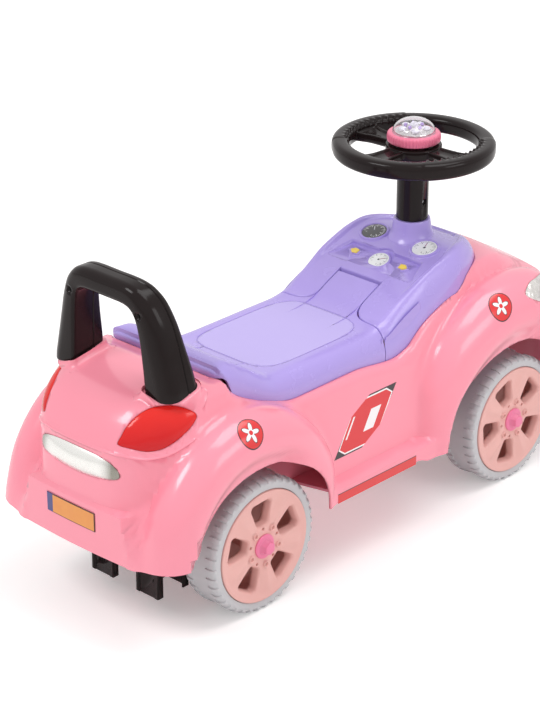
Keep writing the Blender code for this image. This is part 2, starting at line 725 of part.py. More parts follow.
def seat_lid(finish, pin_finish):
    """The purple seat: a lid that lifts on a pin at its rear edge."""
    across = mirrored_places(grid_places([0.025, 0.060, 0.0775, 0.0852], [1, 2, 4]))
    along = grid_places([-0.2135, -0.2000, -0.126, 0.035, 0.091], [4, 5, 3, 5])
    lid = node("seat_lid", slab(across, along, cover_height, cover_bottom), finish,
               (0.0, HINGE_Y, HINGE_Z), math.radians(25))
    edge = [point for point in opening_outline(PART_GAP) if point[1] < LID_FRONT_Y - 0.01]
    edge += [(SEAM_HALF_WIDTH - PART_GAP, LID_FRONT_Y)]
    edge += [point for point in reversed(tongue_side(0.0))] + [(TONGUE_HALF_WIDTH, TONGUE_FRONT_Y)]
    boolean(lid, cutter("lid_trim", prism(mirror_outline(edge), 0.15, 0.34)), "INTERSECT")
    inner = TONGUE_HALF_WIDTH - COVER_WALL - 0.003
    boolean(lid, cutter("lid_hollow", cavity(0.058, SEAM_REAR_Y + COVER_WALL + PART_GAP,
                                             LID_FRONT_Y - COVER_WALL,
                                             lambda y: float(cover_crest(y)) - COVER_WALL)))
    boolean(lid, cutter("lid_tongue_hollow", cavity(inner, 0.030, TONGUE_FRONT_Y - COVER_WALL,
                                                    lambda y: float(cover_crest(y)) - COVER_WALL, steps=5)))
    boolean(lid, cutter("lid_side_hollow", cavity(SEAM_HALF_WIDTH - COVER_WALL, -0.194,
                                                  LID_FRONT_Y - COVER_WALL,
                                                  lambda y: cover_bottom(y) + 0.012)))
    hinge = (0, HINGE_Y, HINGE_Z)
    eye_x = HINGE_LUG_X + HINGE_EYE_OFFSET
    knuckles = []
    notches = []
    for side in (-1, 1):
        middle = side * eye_x
        knuckles.append(rod(HINGE_EYE_RADIUS, middle - 0.003, middle + 0.003, hinge, "X", 14))
        notches.append(box((side * HINGE_LUG_X - 0.0045, HINGE_Y - 0.0075, 0.240),
                           (side * HINGE_LUG_X + 0.0045, HINGE_Y + 0.0015, HINGE_Z + 0.0057)))
    stems = [box((side * eye_x - 0.003, HINGE_Y - 0.002, HINGE_Z),
                 (side * eye_x + 0.003, HINGE_Y + 0.003, HINGE_Z + 0.008)) for side in (-1, 1)]
    boolean(lid, cutter("lid_notches", join(*notches)))
    boolean(lid, cutter("lid_knuckles", join(*knuckles)), "UNION")
    boolean(lid, cutter("lid_knuckle_stems", join(*stems)), "UNION")
    boolean(lid, cutter("lid_pin_bore", rod(HINGE_PIN_RADIUS + GAP, -0.04, 0.04, hinge, "X", 12)))
    node("hinge_pin", rod(HINGE_PIN_RADIUS, -eye_x - 0.0055, eye_x + 0.0055, hinge, "X", 12), pin_finish)


def storage_tub(finish):
    """The box under the seat, with a flange for the lid and two lugs for the hinge pin."""
    floor = PAN_Z + PAN_THICKNESS + GAP
    top = float(seam_height(LID_FRONT_Y)) - SKIRT_DEPTH - GAP
    tub = node("storage_tub", box((-TUB_HALF_WIDTH, TUB_REAR_Y, floor),
                                  (TUB_HALF_WIDTH, TUB_FRONT_Y, top)), finish)
    flange = box((-TUB_FLANGE_HALF_WIDTH, TUB_REAR_Y - 0.004, top - TUB_WALL),
                 (TUB_FLANGE_HALF_WIDTH, TUB_FRONT_Y + 0.004, top))
    boolean(tub, cutter("tub_flange", flange), "UNION")
    lugs = []
    for side in (-1, 1):
        eye = arc((HINGE_Y, HINGE_Z), 0.0040, 30, 210, 6)
        outline = [(TUB_REAR_Y + 0.001, 0.160), (TUB_REAR_Y + 0.001, top - 0.001)]
        outline += eye + [(TUB_REAR_Y - 0.0055, 0.172)]
        lugs.append(prism(outline, side * HINGE_LUG_X - HINGE_LUG_WIDTH / 2,
                          side * HINGE_LUG_X + HINGE_LUG_WIDTH / 2, "X"))
    boolean(tub, cutter("tub_lugs", join(*lugs)), "UNION")
    hollow = box((-TUB_HALF_WIDTH + TUB_WALL, TUB_REAR_Y + TUB_WALL, floor + TUB_WALL),
                 (TUB_HALF_WIDTH - TUB_WALL, TUB_FRONT_Y - TUB_WALL, 0.25))
    boolean(tub, cutter("tub_hollow", hollow))
    pin_bore = rod(HINGE_PIN_RADIUS + GAP, -0.04, 0.04, (0, HINGE_Y, HINGE_Z), "X", 12)
    boolean(tub, cutter("tub_pin_bore", pin_bore))
    bores = [rod(SCREW_HOLE_RADIUS, 0.09, floor + 0.0018, (x, y, 0), "Z", 8) for x, y in PAN_SCREWS]
    boolean(tub, cutter("tub_screw_bores", join(*bores)))


def dash_slope(y):
    """Angle of the dashboard's surface along the car."""
    return math.atan2(float(cover_crest(y + 0.004) - cover_crest(y - 0.004)), 0.008)


def lay_on_dash(mesh, x, y, sunk):
    """Tilt a piece made at the origin onto the dashboard."""
    place = Matrix.Translation((x, y, float(cover_crest(y)) - sunk))
    mesh.transform(place @ Matrix.Rotation(dash_slope(y), 4, "X"))
    return mesh


def dash_console(finish, dial_finish, arrow_finish):
    """The purple dashboard with its tray and the cone that the steering column turns in."""
    across = mirrored_places(grid_places([0.020, 0.055, 0.0775, 0.0852], [1, 3, 4]))
    along = grid_places([0.0435, 0.110, 0.150, 0.2405], [5, 2, 8])
    dash = node("dash_console", slab(across, along, cover_height, cover_bottom), finish,
                smooth=math.radians(25))
    gap = 0.0010
    notch = [(0.0, TONGUE_FRONT_Y + FINGER_GAP), (TONGUE_HALF_WIDTH + gap, TONGUE_FRONT_Y + FINGER_GAP)]
    edge = notch + tongue_side(gap) + [(SEAM_HALF_WIDTH - PART_GAP, LID_FRONT_Y + gap)]
    edge += [point for point in opening_outline(PART_GAP) if point[1] > LID_FRONT_Y + 0.01]
    boolean(dash, cutter("dash_trim", prism(mirror_outline(edge), 0.15, 0.34)), "INTERSECT")
    under = lambda y: float(cover_crest(y)) - 0.0068
    hollow = cavity(0.054, TONGUE_FRONT_Y + FINGER_GAP + COVER_WALL, 0.222, under)
    boolean(dash, cutter("dash_hollow", hollow))
    arm_hollow = cavity(0.054, LID_FRONT_Y + gap + COVER_WALL, 0.110, under, steps=5,
                        inner=TONGUE_HALF_WIDTH + gap + COVER_WALL + 0.0045)
    boolean(dash, cutter("dash_arm_hollow", arm_hollow))
    boolean(dash, cutter("dash_side_hollow", cavity(SEAM_HALF_WIDTH - COVER_WALL - 0.003,
                                                    LID_FRONT_Y + gap + COVER_WALL, 0.145,
                                                    lambda y: cover_bottom(y) + 0.014, inner=0.050)))
    tray = box((-TRAY_HALF_WIDTH, -TRAY_HALF_LENGTH, -TRAY_DEPTH), (TRAY_HALF_WIDTH, TRAY_HALF_LENGTH, 0.02))
    boolean(dash, cutter("dash_tray", lay_on_dash(tray, 0, TRAY_Y, 0.0)))
    cone = turned([(0, 0.262), (CONE_BASE_RADIUS, 0.262), (CONE_BASE_RADIUS, 0.280),
                   (CONE_TOP_RADIUS, CONE_TOP_Z), (0, CONE_TOP_Z)], (0, COLUMN_Y, 0), segments=24)
    boolean(dash, cutter("dash_cone", cone), "UNION")
    bore = rod(COLUMN_ROD_RADIUS + GAP, 0.20, 0.35, (0, COLUMN_Y, 0), segments=16)
    boolean(dash, cutter("dash_bore", bore))
    for side, label in SIDES:
        disc = rod(GAUGE_RADIUS, 0, GAUGE_THICKNESS, (0, 0, 0), segments=20)
        node("gauge_" + label, lay_on_dash(disc, side * GAUGE_X, GAUGE_Y, -2 * GAP), dial_finish)
        half = 0.008
        points = [(side * half, 0.0), (0.0, 0.0055), (0.0, 0.003), (-side * half, 0.003),
                  (-side * half, -0.003), (0.0, -0.003), (0.0, -0.0055)]
        arrow = prism(points if side > 0 else points[::-1], 0, GAUGE_THICKNESS)
        node("indicator_" + label, lay_on_dash(arrow, side * ARROW_X, TRAY_Y, TRAY_DEPTH - GAP),
             arrow_finish)
    disc = rod(MIDDLE_GAUGE_RADIUS, 0, GAUGE_THICKNESS, (0, 0, 0), segments=20)
    node("gauge_middle", lay_on_dash(disc, 0, TRAY_Y, TRAY_DEPTH - GAP), dial_finish)


# Lamps and trim that follow the body's form

def patch_mesh(points, normal, low, high, grow=0.0):
    """A plate that follows the body under an outline of world points."""
    points = np.array(points)
    centre = points.mean(axis=0)
    normal = np.array(normal) / np.linalg.norm(normal)
    rings = []
    for share in (1.0, 0.62, 0.28):
        flat = centre + (points - centre) * share
        if grow and share == 1.0:
            spread = flat - centre
            flat = flat + spread / np.linalg.norm(spread, axis=1, keepdims=True) * grow
        starts = flat - normal * (((flat - centre) @ normal)[:, None] + 0.035)
        rings.append(first_hit(starts, np.repeat(normal[None, :], len(starts), axis=0), 0.09))
    middle = first_hit((centre - normal * 0.035)[None, :], normal[None, :], 0.09)
    mesh = bmesh.new()
    layers = []
    for height in (low, high):
        layer = [[mesh.verts.new(point) for point in ring_points + normal * height]
                 for ring_points in rings]
        top = mesh.verts.new((middle + normal * height)[0])
        layers.append(layer)
        count = len(points)
        for index in range(count):
            after = (index + 1) % count
            for outer, inner in zip(layer, layer[1:]):
                mesh.faces.new((outer[index], outer[after], inner[after]))
                mesh.faces.new((outer[index], inner[after], inner[index]))
            mesh.faces.new((layer[-1][index], layer[-1][after], top))
    for index in range(len(points)):
        after = (index + 1) % len(points)
        mesh.faces.new((layers[0][0][index], layers[0][0][after], layers[1][0][after], layers[1][0][index]))
    return face_out(mesh)


def trim(shell, red, silver, orange):
    """Tail lamps, headlamps, garnish bar and plate, each in its pocket in the shell."""
    lamp = [(0.054, -0.3235, 0.222), (0.050, -0.305, 0.238), (0.058, -0.2940, 0.248),
            (0.072, -0.2910, 0.2505),
            (0.0858, -0.2842, 0.249), (0.0922, -0.2740, 0.247), (0.0950, -0.262, 0.246),
            (0.0975, -0.254, 0.242),
            (0.0955, -0.275, 0.230), (0.083, -0.304, 0.218), (0.067, -0.318, 0.2175)]
    headlamp = [(0.127, 0.246, 0.232), (0.112, 0.270, 0.242), (0.090, 0.300, 0.232), (0.076, 0.322, 0.216),
                (0.080, 0.334, 0.196), (0.100, 0.326, 0.188), (0.120, 0.300, 0.198), (0.131, 0.266, 0.216)]
    bar = [(-0.058, 0, 0.196), (-0.050, 0, 0.203), (-0.020, 0, 0.2055), (0.020, 0, 0.2055),
           (0.050, 0, 0.203), (0.058, 0, 0.196), (0.050, 0, 0.189), (0.020, 0, 0.1875),
           (-0.020, 0, 0.1875), (-0.050, 0, 0.189)]
    plate = [(x * PLATE_HALF_WIDTH, 0, 0.137 + z * PLATE_HEIGHT / 2)
             for x, z in ((-1, -1), (-0.33, -1), (0.33, -1), (1, -1), (1, 1), (0.33, 1), (-0.33, 1), (-1, 1))]
    pieces = []
    for side, label in SIDES:
        for name, points, normal, finish in (("tail_lamp_", lamp, (0.60, -0.50, 0.62), red),
                                             ("headlamp_", headlamp, (0.50, 0.45, 0.74), silver)):
            turn = np.array([side, 1.0, 1.0])
            pieces.append((name + label, np.array(points) * turn, np.array(normal) * turn, finish))
    tail = np.array([0, -0.32, 0])
    pieces.append(("rear_garnish", np.array(bar) + tail, np.array([0, -1, 0]), silver))
    pieces.append(("number_plate", np.array(plate) + tail, np.array([0, -1, 0]), orange))
    pockets = []
    for name, points, normal, finish in pieces:
        node(name, patch_mesh(points, normal, -TRIM_SUNK, TRIM_PROUD), finish)
        pockets.append(patch_mesh(points, normal, -TRIM_SUNK - 2 * GAP, POCKET_REACH, 2 * GAP))
    boolean(shell, cutter("trim_pockets", join(*pockets)))


# Floor pan, axles and steering gear

def floor_pan(finish, screw_finish):
    """The flat tray that closes the body below and carries the axles."""
    half = [(0.0, PAN_REAR_Y), (PAN_TAIL_HALF_WIDTH, PAN_REAR_Y), (PAN_TAIL_HALF_WIDTH, -0.092),
            (PAN_HALF_WIDTH, -0.078), (PAN_HALF_WIDTH, 0.062), (PAN_NOSE_HALF_WIDTH, 0.125),
            (PAN_NOSE_HALF_WIDTH, PAN_FRONT_Y), (0.0, PAN_FRONT_Y)]
    pan = node("floor_pan", prism(mirror_outline(half), PAN_Z, PAN_Z + PAN_THICKNESS), finish)
    holes = [rod(COLUMN_ROD_RADIUS + 0.0004, 0.08, 0.12, (0, COLUMN_Y, 0), segments=16)]
    holes += [rod(SCREW_HOLE_RADIUS, 0.08, 0.12, (x, y, 0), segments=8) for x, y in PAN_SCREWS]
    boolean(pan, cutter("pan_holes", join(*holes)))
    for index, (x, y) in enumerate(PAN_SCREWS):
        profile = [(0, 0), (SCREW_HEAD_RADIUS, 0), (SCREW_HEAD_RADIUS, SCREW_HEAD_HEIGHT),
                   (SCREW_SHANK_RADIUS, SCREW_HEAD_HEIGHT), (SCREW_SHANK_RADIUS, 0.0066), (0, 0.0066)]
        screw = turned(profile, (x, y, PAN_Z - SCREW_HEAD_HEIGHT - GAP), segments=10)
        node(f"pan_screw_{index + 1}", screw, screw_finish)


def rear_running_gear(black, steel):
    """Steel axle rod in two brackets, and the black tipping stopper."""
    axle = (0, REAR_AXLE_Y, AXLE_Z)
    node("rear_axle", rod(AXLE_RADIUS, -AXLE_END_X, AXLE_END_X, axle, "X", 14, 0.0008), steel)
    for side, label in SIDES:
        low, high = sorted((side * 0.046, side * 0.057))
        block = box((low, REAR_AXLE_Y - 0.012, AXLE_Z - 0.012),
                    (high, REAR_AXLE_Y + 0.012, PAN_Z - GAP), 0.0015)
        bracket = node("axle_bracket_" + label, block, black)
        bore = rod(AXLE_RADIUS + GAP, low - 0.01, high + 0.01, axle, "X", 14)
        boolean(bracket, cutter("bracket_bore_" + label, bore))
    stopper = node("rear_stopper", box((-STOPPER_OUTER, STOPPER_REAR_Y - 0.004, PAN_Z - 0.0035),
                                       (STOPPER_OUTER, STOPPER_FRONT_Y + 0.004, PAN_Z - GAP)), black)
    legs = []
    hollows = []
    for side in (-1, 1):
        low, high = sorted((side * STOPPER_INNER, side * STOPPER_OUTER))
        legs.append(box((low, STOPPER_REAR_Y, STOPPER_Z), (high, STOPPER_FRONT_Y, PAN_Z - 0.001)))
        hollows.append(box((low + STOPPER_WALL, STOPPER_REAR_Y + STOPPER_WALL, STOPPER_Z - 0.01),
                           (high - STOPPER_WALL, STOPPER_FRONT_Y - STOPPER_WALL, PAN_Z - 0.0035)))
    boolean(stopper, cutter("stopper_legs", join(*legs)), "UNION")
    boolean(stopper, cutter("stopper_hollows", join(*hollows)))


def road_wheel(name, side, axle_y, finishes):
    """One wheel: grey tyre, pale five-window hub and pink cap, turning about X."""
    grey, pale, pink = finishes
    centre = (side * TRACK_HALF, axle_y, AXLE_Z)
    axle = pivot(name + "_axis", centre)
    reach = TYRE_WIDTH / 2
    outer = AXLE_Z / math.cos(math.pi / TYRE_FACETS)
    bore = (RIM_RADIUS + GAP) / math.cos(math.pi / TYRE_FACETS)
    turn = Matrix.Rotation(math.pi, 4, "Z") if side < 0 else Matrix.Identity(4)
    tyre = turned([(bore, -reach), (outer - 0.006, -reach), (outer, -reach + 0.006),
                   (outer, reach - 0.006), (outer - 0.006, reach), (bore, reach)],
                  (0, 0, 0), "X", TYRE_FACETS)
    tyre.transform(Matrix.Rotation(math.pi / TYRE_FACETS, 4, "X"))
    hub = turned([(AXLE_RADIUS + HUB_BORE_CLEARANCE, -0.0205), (0.011, -0.0205), (0.011, 0.012),
                  (RIM_RADIUS - HUB_WALL, 0.012), (RIM_RADIUS - HUB_WALL, -0.0205), (RIM_RADIUS, -0.0205),
                  (RIM_RADIUS, 0.0235), (AXLE_RADIUS + HUB_BORE_CLEARANCE, 0.0220)], (0, 0, 0), "X", 20)
    cap = turned([(0, 0), (0.0115, 0), (0.0115, 0.0018), (0.0078, 0.0026), (0.0070, 0.0085), (0.0055, 0.0098),
                  (0, 0.0098)], (0.0225, 0, 0), "X", 12)
    pieces = []
    for label, mesh, finish in (("_tyre", tyre, grey), ("_hub", hub, pale), ("_cap", cap, pink)):
        mesh.transform(Matrix.Translation(centre) @ turn)
        pieces.append(node(name + label, mesh, finish, centre))
    windows = []
    near = WINDOW_INNER_RADIUS
    far = RIM_RADIUS - WINDOW_MARGIN
    for index in range(5):
        window = prism([(near, -0.0045), (far, -0.0125), (far, 0.0125), (near, 0.0045)], 0.005, 0.03, "X")
        window.transform(Matrix.Rotation(math.tau * index / 5, 4, "X"))
        window.transform(Matrix.Translation(centre) @ turn)
        windows.append(window)
    boolean(pieces[1], cutter(name + "_windows", join(*windows)))
    carry(axle, *pieces)
    return axle


def front_running_gear(black, steel):
    """Cross beam, two knuckles on king pins, stub axles, and the tie rod that links them."""
    rear = FRONT_AXLE_Y - BEAM_HALF_DEPTH
    front = FRONT_AXLE_Y + BEAM_HALF_DEPTH
    beam = node("front_beam", box((-0.040, rear, BEAM_LOW_Z), (0.040, front, PAN_Z - GAP)), black)
    lugs = []
    bores = []
    for side in (-1, 1):
        low, high = sorted((side * 0.038, side * 0.059))
        for bottom, top in ((BEAM_LOW_Z, 0.0475), (0.0905, PAN_Z - GAP)):
            lugs.append(box((low, rear, bottom), (high, front, top)))
        pin_place = (side * KING_PIN_X, FRONT_AXLE_Y, 0)
        bores.append(rod(KING_PIN_RADIUS + GAP, 0.03, 0.0965, pin_place, segments=12))
    boolean(beam, cutter("beam_lugs", join(*lugs)), "UNION")
    boolean(beam, cutter("beam_bores", join(*bores)))
    boolean(beam, cutter("beam_window", box((-0.019, FRONT_AXLE_Y - 0.02, 0.0478),
                                            (0.019, FRONT_AXLE_Y + 0.02, 0.0560))))
    pivots = {}
    for side, label in SIDES:
        place = (side * KING_PIN_X, FRONT_AXLE_Y, AXLE_Z)
        turn = pivot("knuckle_axis_" + label, place)
        foot = (place[0], place[1], 0)
        pin = [(0, 0.0378), (0.005, 0.0378), (0.005, BEAM_LOW_Z - GAP), (KING_PIN_RADIUS, BEAM_LOW_Z - GAP),
               (KING_PIN_RADIUS, 0.0962), (0, 0.0962)]
        node("king_pin_" + label, turned(pin, foot, segments=12), steel)
        barrel = rod(KNUCKLE_RADIUS, 0.0478, 0.0902, foot, segments=16)
        knuckle = node("knuckle_" + label, barrel, black, place)
        low, high = sorted((place[0] + side * 0.004, side * 0.0655))
        arm = prism([(-0.0045, 0.0), (0.0045, 0.0)] + arc((0, STEER_ARM), 0.0045, 0, 180, 5),
                    STEER_ARM_Z, STEER_ARM_Z + LINK_THICKNESS)
        bmesh.ops.translate(arm, vec=(place[0], place[1], 0), verts=arm.verts)
        boolean(knuckle, cutter("knuckle_arm_" + label, arm), "UNION")
        axle = (0, place[1], AXLE_Z)
        boss = rod(0.0075, low, high, axle, "X", 16)
        boolean(knuckle, cutter("knuckle_boss_" + label, boss), "UNION")
        peg = rod(PEG_RADIUS, 0.0488, STEER_ARM_Z + 0.001, (place[0], place[1] + STEER_ARM, 0), segments=10)
        boolean(knuckle, cutter("knuckle_peg_" + label, peg), "UNION")
        bore = rod(KING_PIN_RADIUS + GAP, 0.03, 0.1, foot, segments=12)
        boolean(knuckle, cutter("knuckle_bore_" + label, bore))
        low, high = sorted((side * 0.0568, side * 0.08))
        socket = rod(AXLE_RADIUS + GAP, low, high, axle, "X", 14)
        boolean(knuckle, cutter("knuckle_socket_" + label, socket))
        low, high = sorted((side * 0.0571, side * AXLE_END_X))
        stub = node("stub_axle_" + label, rod(AXLE_RADIUS, low, high, axle, "X", 14, 0.0008), steel, place)
        carry(turn, knuckle, stub)
        pivots[label] = turn
    top = STEER_ARM_Z - 0.0018
    bar = prism([(-0.0580, -0.0080), (-0.0075, -0.0080), (-0.0075, -0.0605), (0.0075, -0.0605),
                 (0.0075, -0.0080), (0.0580, -0.0080), (0.0600, -0.0060), (0.0600, 0.0060), (0.0580, 0.0080),
                 (-0.0580, 0.0080), (-0.0600, 0.0060), (-0.0600, -0.0060)], top - LINK_THICKNESS, top)
    bmesh.ops.translate(bar, vec=(0, FRONT_AXLE_Y + STEER_ARM, 0), verts=bar.verts)
    tie = node("tie_rod", bar, steel, (0, FRONT_AXLE_Y + STEER_ARM, top))
    slots = [box((x - 0.0028, y - 0.0050, 0.04), (x + 0.0028, y + 0.0050, 0.06))
             for x, y in ((KING_PIN_X, FRONT_AXLE_Y + STEER_ARM), (-KING_PIN_X, FRONT_AXLE_Y + STEER_ARM),
                          (0.0, COLUMN_Y + STEER_ARM))]
    boolean(tie, cutter("tie_rod_slots", join(*slots)))
    return pivots


def steering(black, steel, pink, clear, silver):
    """Column, steering wheel and the light button in its middle."""
    column = (0, COLUMN_Y, 0)
    axis = pivot("steering_axis", (0, COLUMN_Y, CONE_TOP_Z))
    shaft = rod(COLUMN_ROD_RADIUS, STEER_ARM_Z, WHEEL_Z + 0.001, column, segments=16)
    shaft = node("steering_rod", shaft, steel)
    crank = ring(COLUMN_ROD_RADIUS + GAP, 0.0085, STEER_ARM_Z, STEER_ARM_Z + 0.008, column, segments=20)
    crank = node("steering_crank", crank, steel)
    arm = prism([(-0.0045, 0.006), (0.0045, 0.006)] + arc((0, STEER_ARM), 0.0045, 0, 180, 5),
                STEER_ARM_Z, STEER_ARM_Z + LINK_THICKNESS)
    bmesh.ops.translate(arm, vec=column, verts=arm.verts)
    boolean(crank, cutter("crank_arm", arm), "UNION")
    peg = rod(PEG_RADIUS, 0.0488, STEER_ARM_Z + 0.001, (0, COLUMN_Y + STEER_ARM, 0), segments=10)
    boolean(crank, cutter("crank_peg", peg), "UNION")
    tube = turned([(COLUMN_ROD_RADIUS + GAP, CONE_TOP_Z + GAP), (COLUMN_TUBE_RADIUS, CONE_TOP_Z + GAP),
                   (COLUMN_TUBE_RADIUS, WHEEL_Z - 0.008), (COLUMN_TUBE_RADIUS + 0.003, WHEEL_Z - 0.003),
                   (COLUMN_ROD_RADIUS + GAP, WHEEL_Z - 0.003)], column, segments=24)
    tube = node("column_tube", tube, black)
    cross = (0, COLUMN_Y, CONE_TOP_Z + CROSS_SCREW_RISE)
    head = -COLUMN_TUBE_RADIUS - GAP
    screw = turned([(0, head - 0.0023), (0.0036, head - 0.0023), (0.0036, head), (0.002, head),
                    (0.002, 0.0145), (0, 0.0145)], cross, "X", 12)
    screw = node("column_screw", screw, steel)
    for piece in (tube, shaft):
        boolean(piece, cutter("cross_bore_" + piece.name, rod(0.0023, -0.03, 0.03, cross, "X", 12)))
    half = WHEEL_RIM_WIDTH / 2
    middle = WHEEL_RADIUS - half
    low = WHEEL_Z
    high = WHEEL_Z + WHEEL_DEPTH
    chamfer = 0.005
    rim = [(middle - half, low + chamfer), (middle - half + chamfer, low),
           (middle + half - chamfer, low), (middle + half, low + chamfer),
           (middle + half, high - chamfer), (middle + half - chamfer, high),
           (middle - half + chamfer, high), (middle - half, high - chamfer)]
    wheel = node("steering_wheel", turned(rim, column, segments=32), black)
    hub_top = KNOB_Z - BUTTON_TRAVEL - 0.0005
    hub = turned([(0, low - 0.0025), (0.022, low - 0.0025), (HUB_CUP_RADIUS, low + 0.004),
                  (HUB_CUP_RADIUS, hub_top), (0, hub_top)], column, segments=24)
    boolean(wheel, cutter("wheel_hub", hub), "UNION")
    spoke_end = middle - 0.004
    spokes = []
    for degrees in (0, 180, 270):
        spoke = prism([(0.020, -0.011), (0.050, -0.013), (spoke_end, -0.019), (spoke_end, 0.019),
                       (0.050, 0.013), (0.020, 0.011)], low + 0.003, low + 0.013)
        spoke.transform(Matrix.Translation(column) @ Matrix.Rotation(math.radians(degrees), 4, "Z"))
        spokes.append(spoke)
    for index, spoke in enumerate(spokes):
        boolean(wheel, cutter(f"wheel_spoke_{index}", spoke), "UNION")
    bores = [rod(COLUMN_ROD_RADIUS + GAP, low - 0.022, low + 0.0015, column, segments=16),
             rod(KNOB_STEM_RADIUS + GAP, KNOB_Z - 0.0135, high + 0.018, column, segments=24)]
    boolean(wheel, cutter("wheel_bores", join(*bores)))
    carry(axis, shaft, crank, tube, screw, wheel)
    button = pivot("button_axis", (0, COLUMN_Y, KNOB_Z))
    bore = KNOB_STEM_RADIUS - 0.0025
    knob = turned([(bore, KNOB_Z - 0.0105), (KNOB_STEM_RADIUS, KNOB_Z - 0.0105), (KNOB_STEM_RADIUS, KNOB_Z),
                   (KNOB_RADIUS - 0.001, KNOB_Z), (KNOB_RADIUS, KNOB_Z + 0.001),
                   (KNOB_RADIUS, KNOB_Z + KNOB_HEIGHT - 0.002),
                   (KNOB_RADIUS - 0.002, KNOB_Z + KNOB_HEIGHT), (bore, KNOB_Z + KNOB_HEIGHT)],
                  column, segments=32)
    knob = node("button_ring", knob, pink, (0, COLUMN_Y, KNOB_Z))
    base = KNOB_Z + KNOB_HEIGHT + GAP
    outer = [(DOME_RADIUS * math.cos(angle), base + DOME_HEIGHT * math.sin(angle))
             for angle in (math.pi / 2 * index / 6 for index in range(7))]
    inner = [((DOME_RADIUS - 0.0015) * math.cos(angle), base + (DOME_HEIGHT - 0.0015) * math.sin(angle))
             for angle in (math.pi / 2 * index / 4 for index in range(5))]
    dome = node("button_dome", turned(outer[:-1] + [(0, outer[-1][1]), (0, inner[-1][1])] + inner[-2::-1],
                                      column, segments=24), clear, (0, COLUMN_Y, KNOB_Z))
    reflector = turned([(0, base), (DOME_RADIUS - 0.0035, base), (DOME_RADIUS - 0.0035, base + 0.0015),
                        (0.008, base + 0.006), (0, base + 0.006)], column, segments=20)
    reflector = node("button_reflector", reflector, silver, (0, COLUMN_Y, KNOB_Z))
    carry(button, knob, dome, reflector)
    carry(axis, button)


def build():
    """Make the whole car."""
    clear_scene()
    pink = material("pink_plastic", (0.95, 0.33, 0.42), 0.28, 0.0, 0.3)
    steel = material("steel", (0.6, 0.6, 0.62), 0.3, 1.0)
    gauge = material("gauge_face", (0.85, 0.85, 0.85), 0.4)
    yellow = material("yellow_plastic", (0.85, 0.6, 0.1), 0.4)
    purple = material("purple_plastic", (0.46, 0.36, 0.80), 0.35)
    black = material("black_plastic", (0.012, 0.011, 0.011), 0.25)
    grey = material("grey_tyre", (0.50, 0.50, 0.52), 0.6)
    pale = material("pale_pink_hub", (0.85, 0.48, 0.44), 0.45)
    cap_pink = material("cap_pink", (0.85, 0.20, 0.38), 0.35)
    red = material("lamp_red", (0.75, 0.015, 0.02), 0.15)
    silver = material("silver_foil", (0.75, 0.75, 0.73), 0.25, 0.9)
    orange = material("plate_orange", (0.75, 0.25, 0.04), 0.4)
    clear = material("clear_dome", (0.9, 0.9, 0.95), 0.08)
    shell = body_shell(pink)
    trim(shell, red, silver, orange)
    push_handle(black, steel)
    seat_lid(purple, steel)
    storage_tub(pink)
    dash_console(purple, gauge, yellow)
    floor_pan(pink, steel)
    rear_running_gear(black, steel)
    finishes = (grey, pale, cap_pink)
    for side, label in SIDES:
        road_wheel("rear_wheel_" + label, side, REAR_AXLE_Y, finishes)
    pivots = front_running_gear(black, steel)
    for side, label in SIDES:
        carry(pivots[label], road_wheel("front_wheel_" + label, side, FRONT_AXLE_Y, finishes))
    steering(black, steel, cap_pink, clear, silver)


build()
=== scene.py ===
import json
import math

import bmesh
import bpy
import numpy as np
from mathutils import Matrix, Vector


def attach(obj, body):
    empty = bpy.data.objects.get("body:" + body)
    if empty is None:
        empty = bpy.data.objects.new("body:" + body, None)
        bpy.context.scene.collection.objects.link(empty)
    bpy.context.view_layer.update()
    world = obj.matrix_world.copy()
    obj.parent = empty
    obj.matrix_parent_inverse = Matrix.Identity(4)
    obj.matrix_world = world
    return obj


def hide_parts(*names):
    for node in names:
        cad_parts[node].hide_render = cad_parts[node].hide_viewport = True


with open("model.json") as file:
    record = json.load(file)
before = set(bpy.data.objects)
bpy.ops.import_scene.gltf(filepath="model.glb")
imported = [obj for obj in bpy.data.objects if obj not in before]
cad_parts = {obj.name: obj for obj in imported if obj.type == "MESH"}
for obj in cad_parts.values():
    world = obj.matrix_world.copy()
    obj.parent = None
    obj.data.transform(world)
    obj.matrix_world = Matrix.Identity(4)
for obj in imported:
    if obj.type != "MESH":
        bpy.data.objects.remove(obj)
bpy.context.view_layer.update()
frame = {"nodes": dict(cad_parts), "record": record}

# The camera stands behind the car on its right side, above it and 2.65 m away, with a long
# lens. It looks at a point on the car's middle line, 0.2 m above the floor.
azimuth = math.radians(43.49)
elevation = math.radians(24.77)
distance = 2.652
target = Vector((0.0, -0.028, 0.2))
toward_camera = Vector((math.sin(azimuth) * math.cos(elevation),
                        -math.cos(azimuth) * math.cos(elevation), math.sin(elevation)))
lens = bpy.data.cameras.new("photo_camera")
lens.sensor_fit = "AUTO"
lens.sensor_width = 36.0
lens.lens = 122.4
lens.shift_x = -0.0215
camera = bpy.data.objects.new("photo_camera", lens)
bpy.context.scene.collection.objects.link(camera)
camera.location = target + toward_camera * distance
camera.rotation_euler = toward_camera.to_track_quat("Z", "Y").to_euler()
bpy.context.scene.camera = camera
bpy.context.scene.view_settings.view_transform = "Standard"


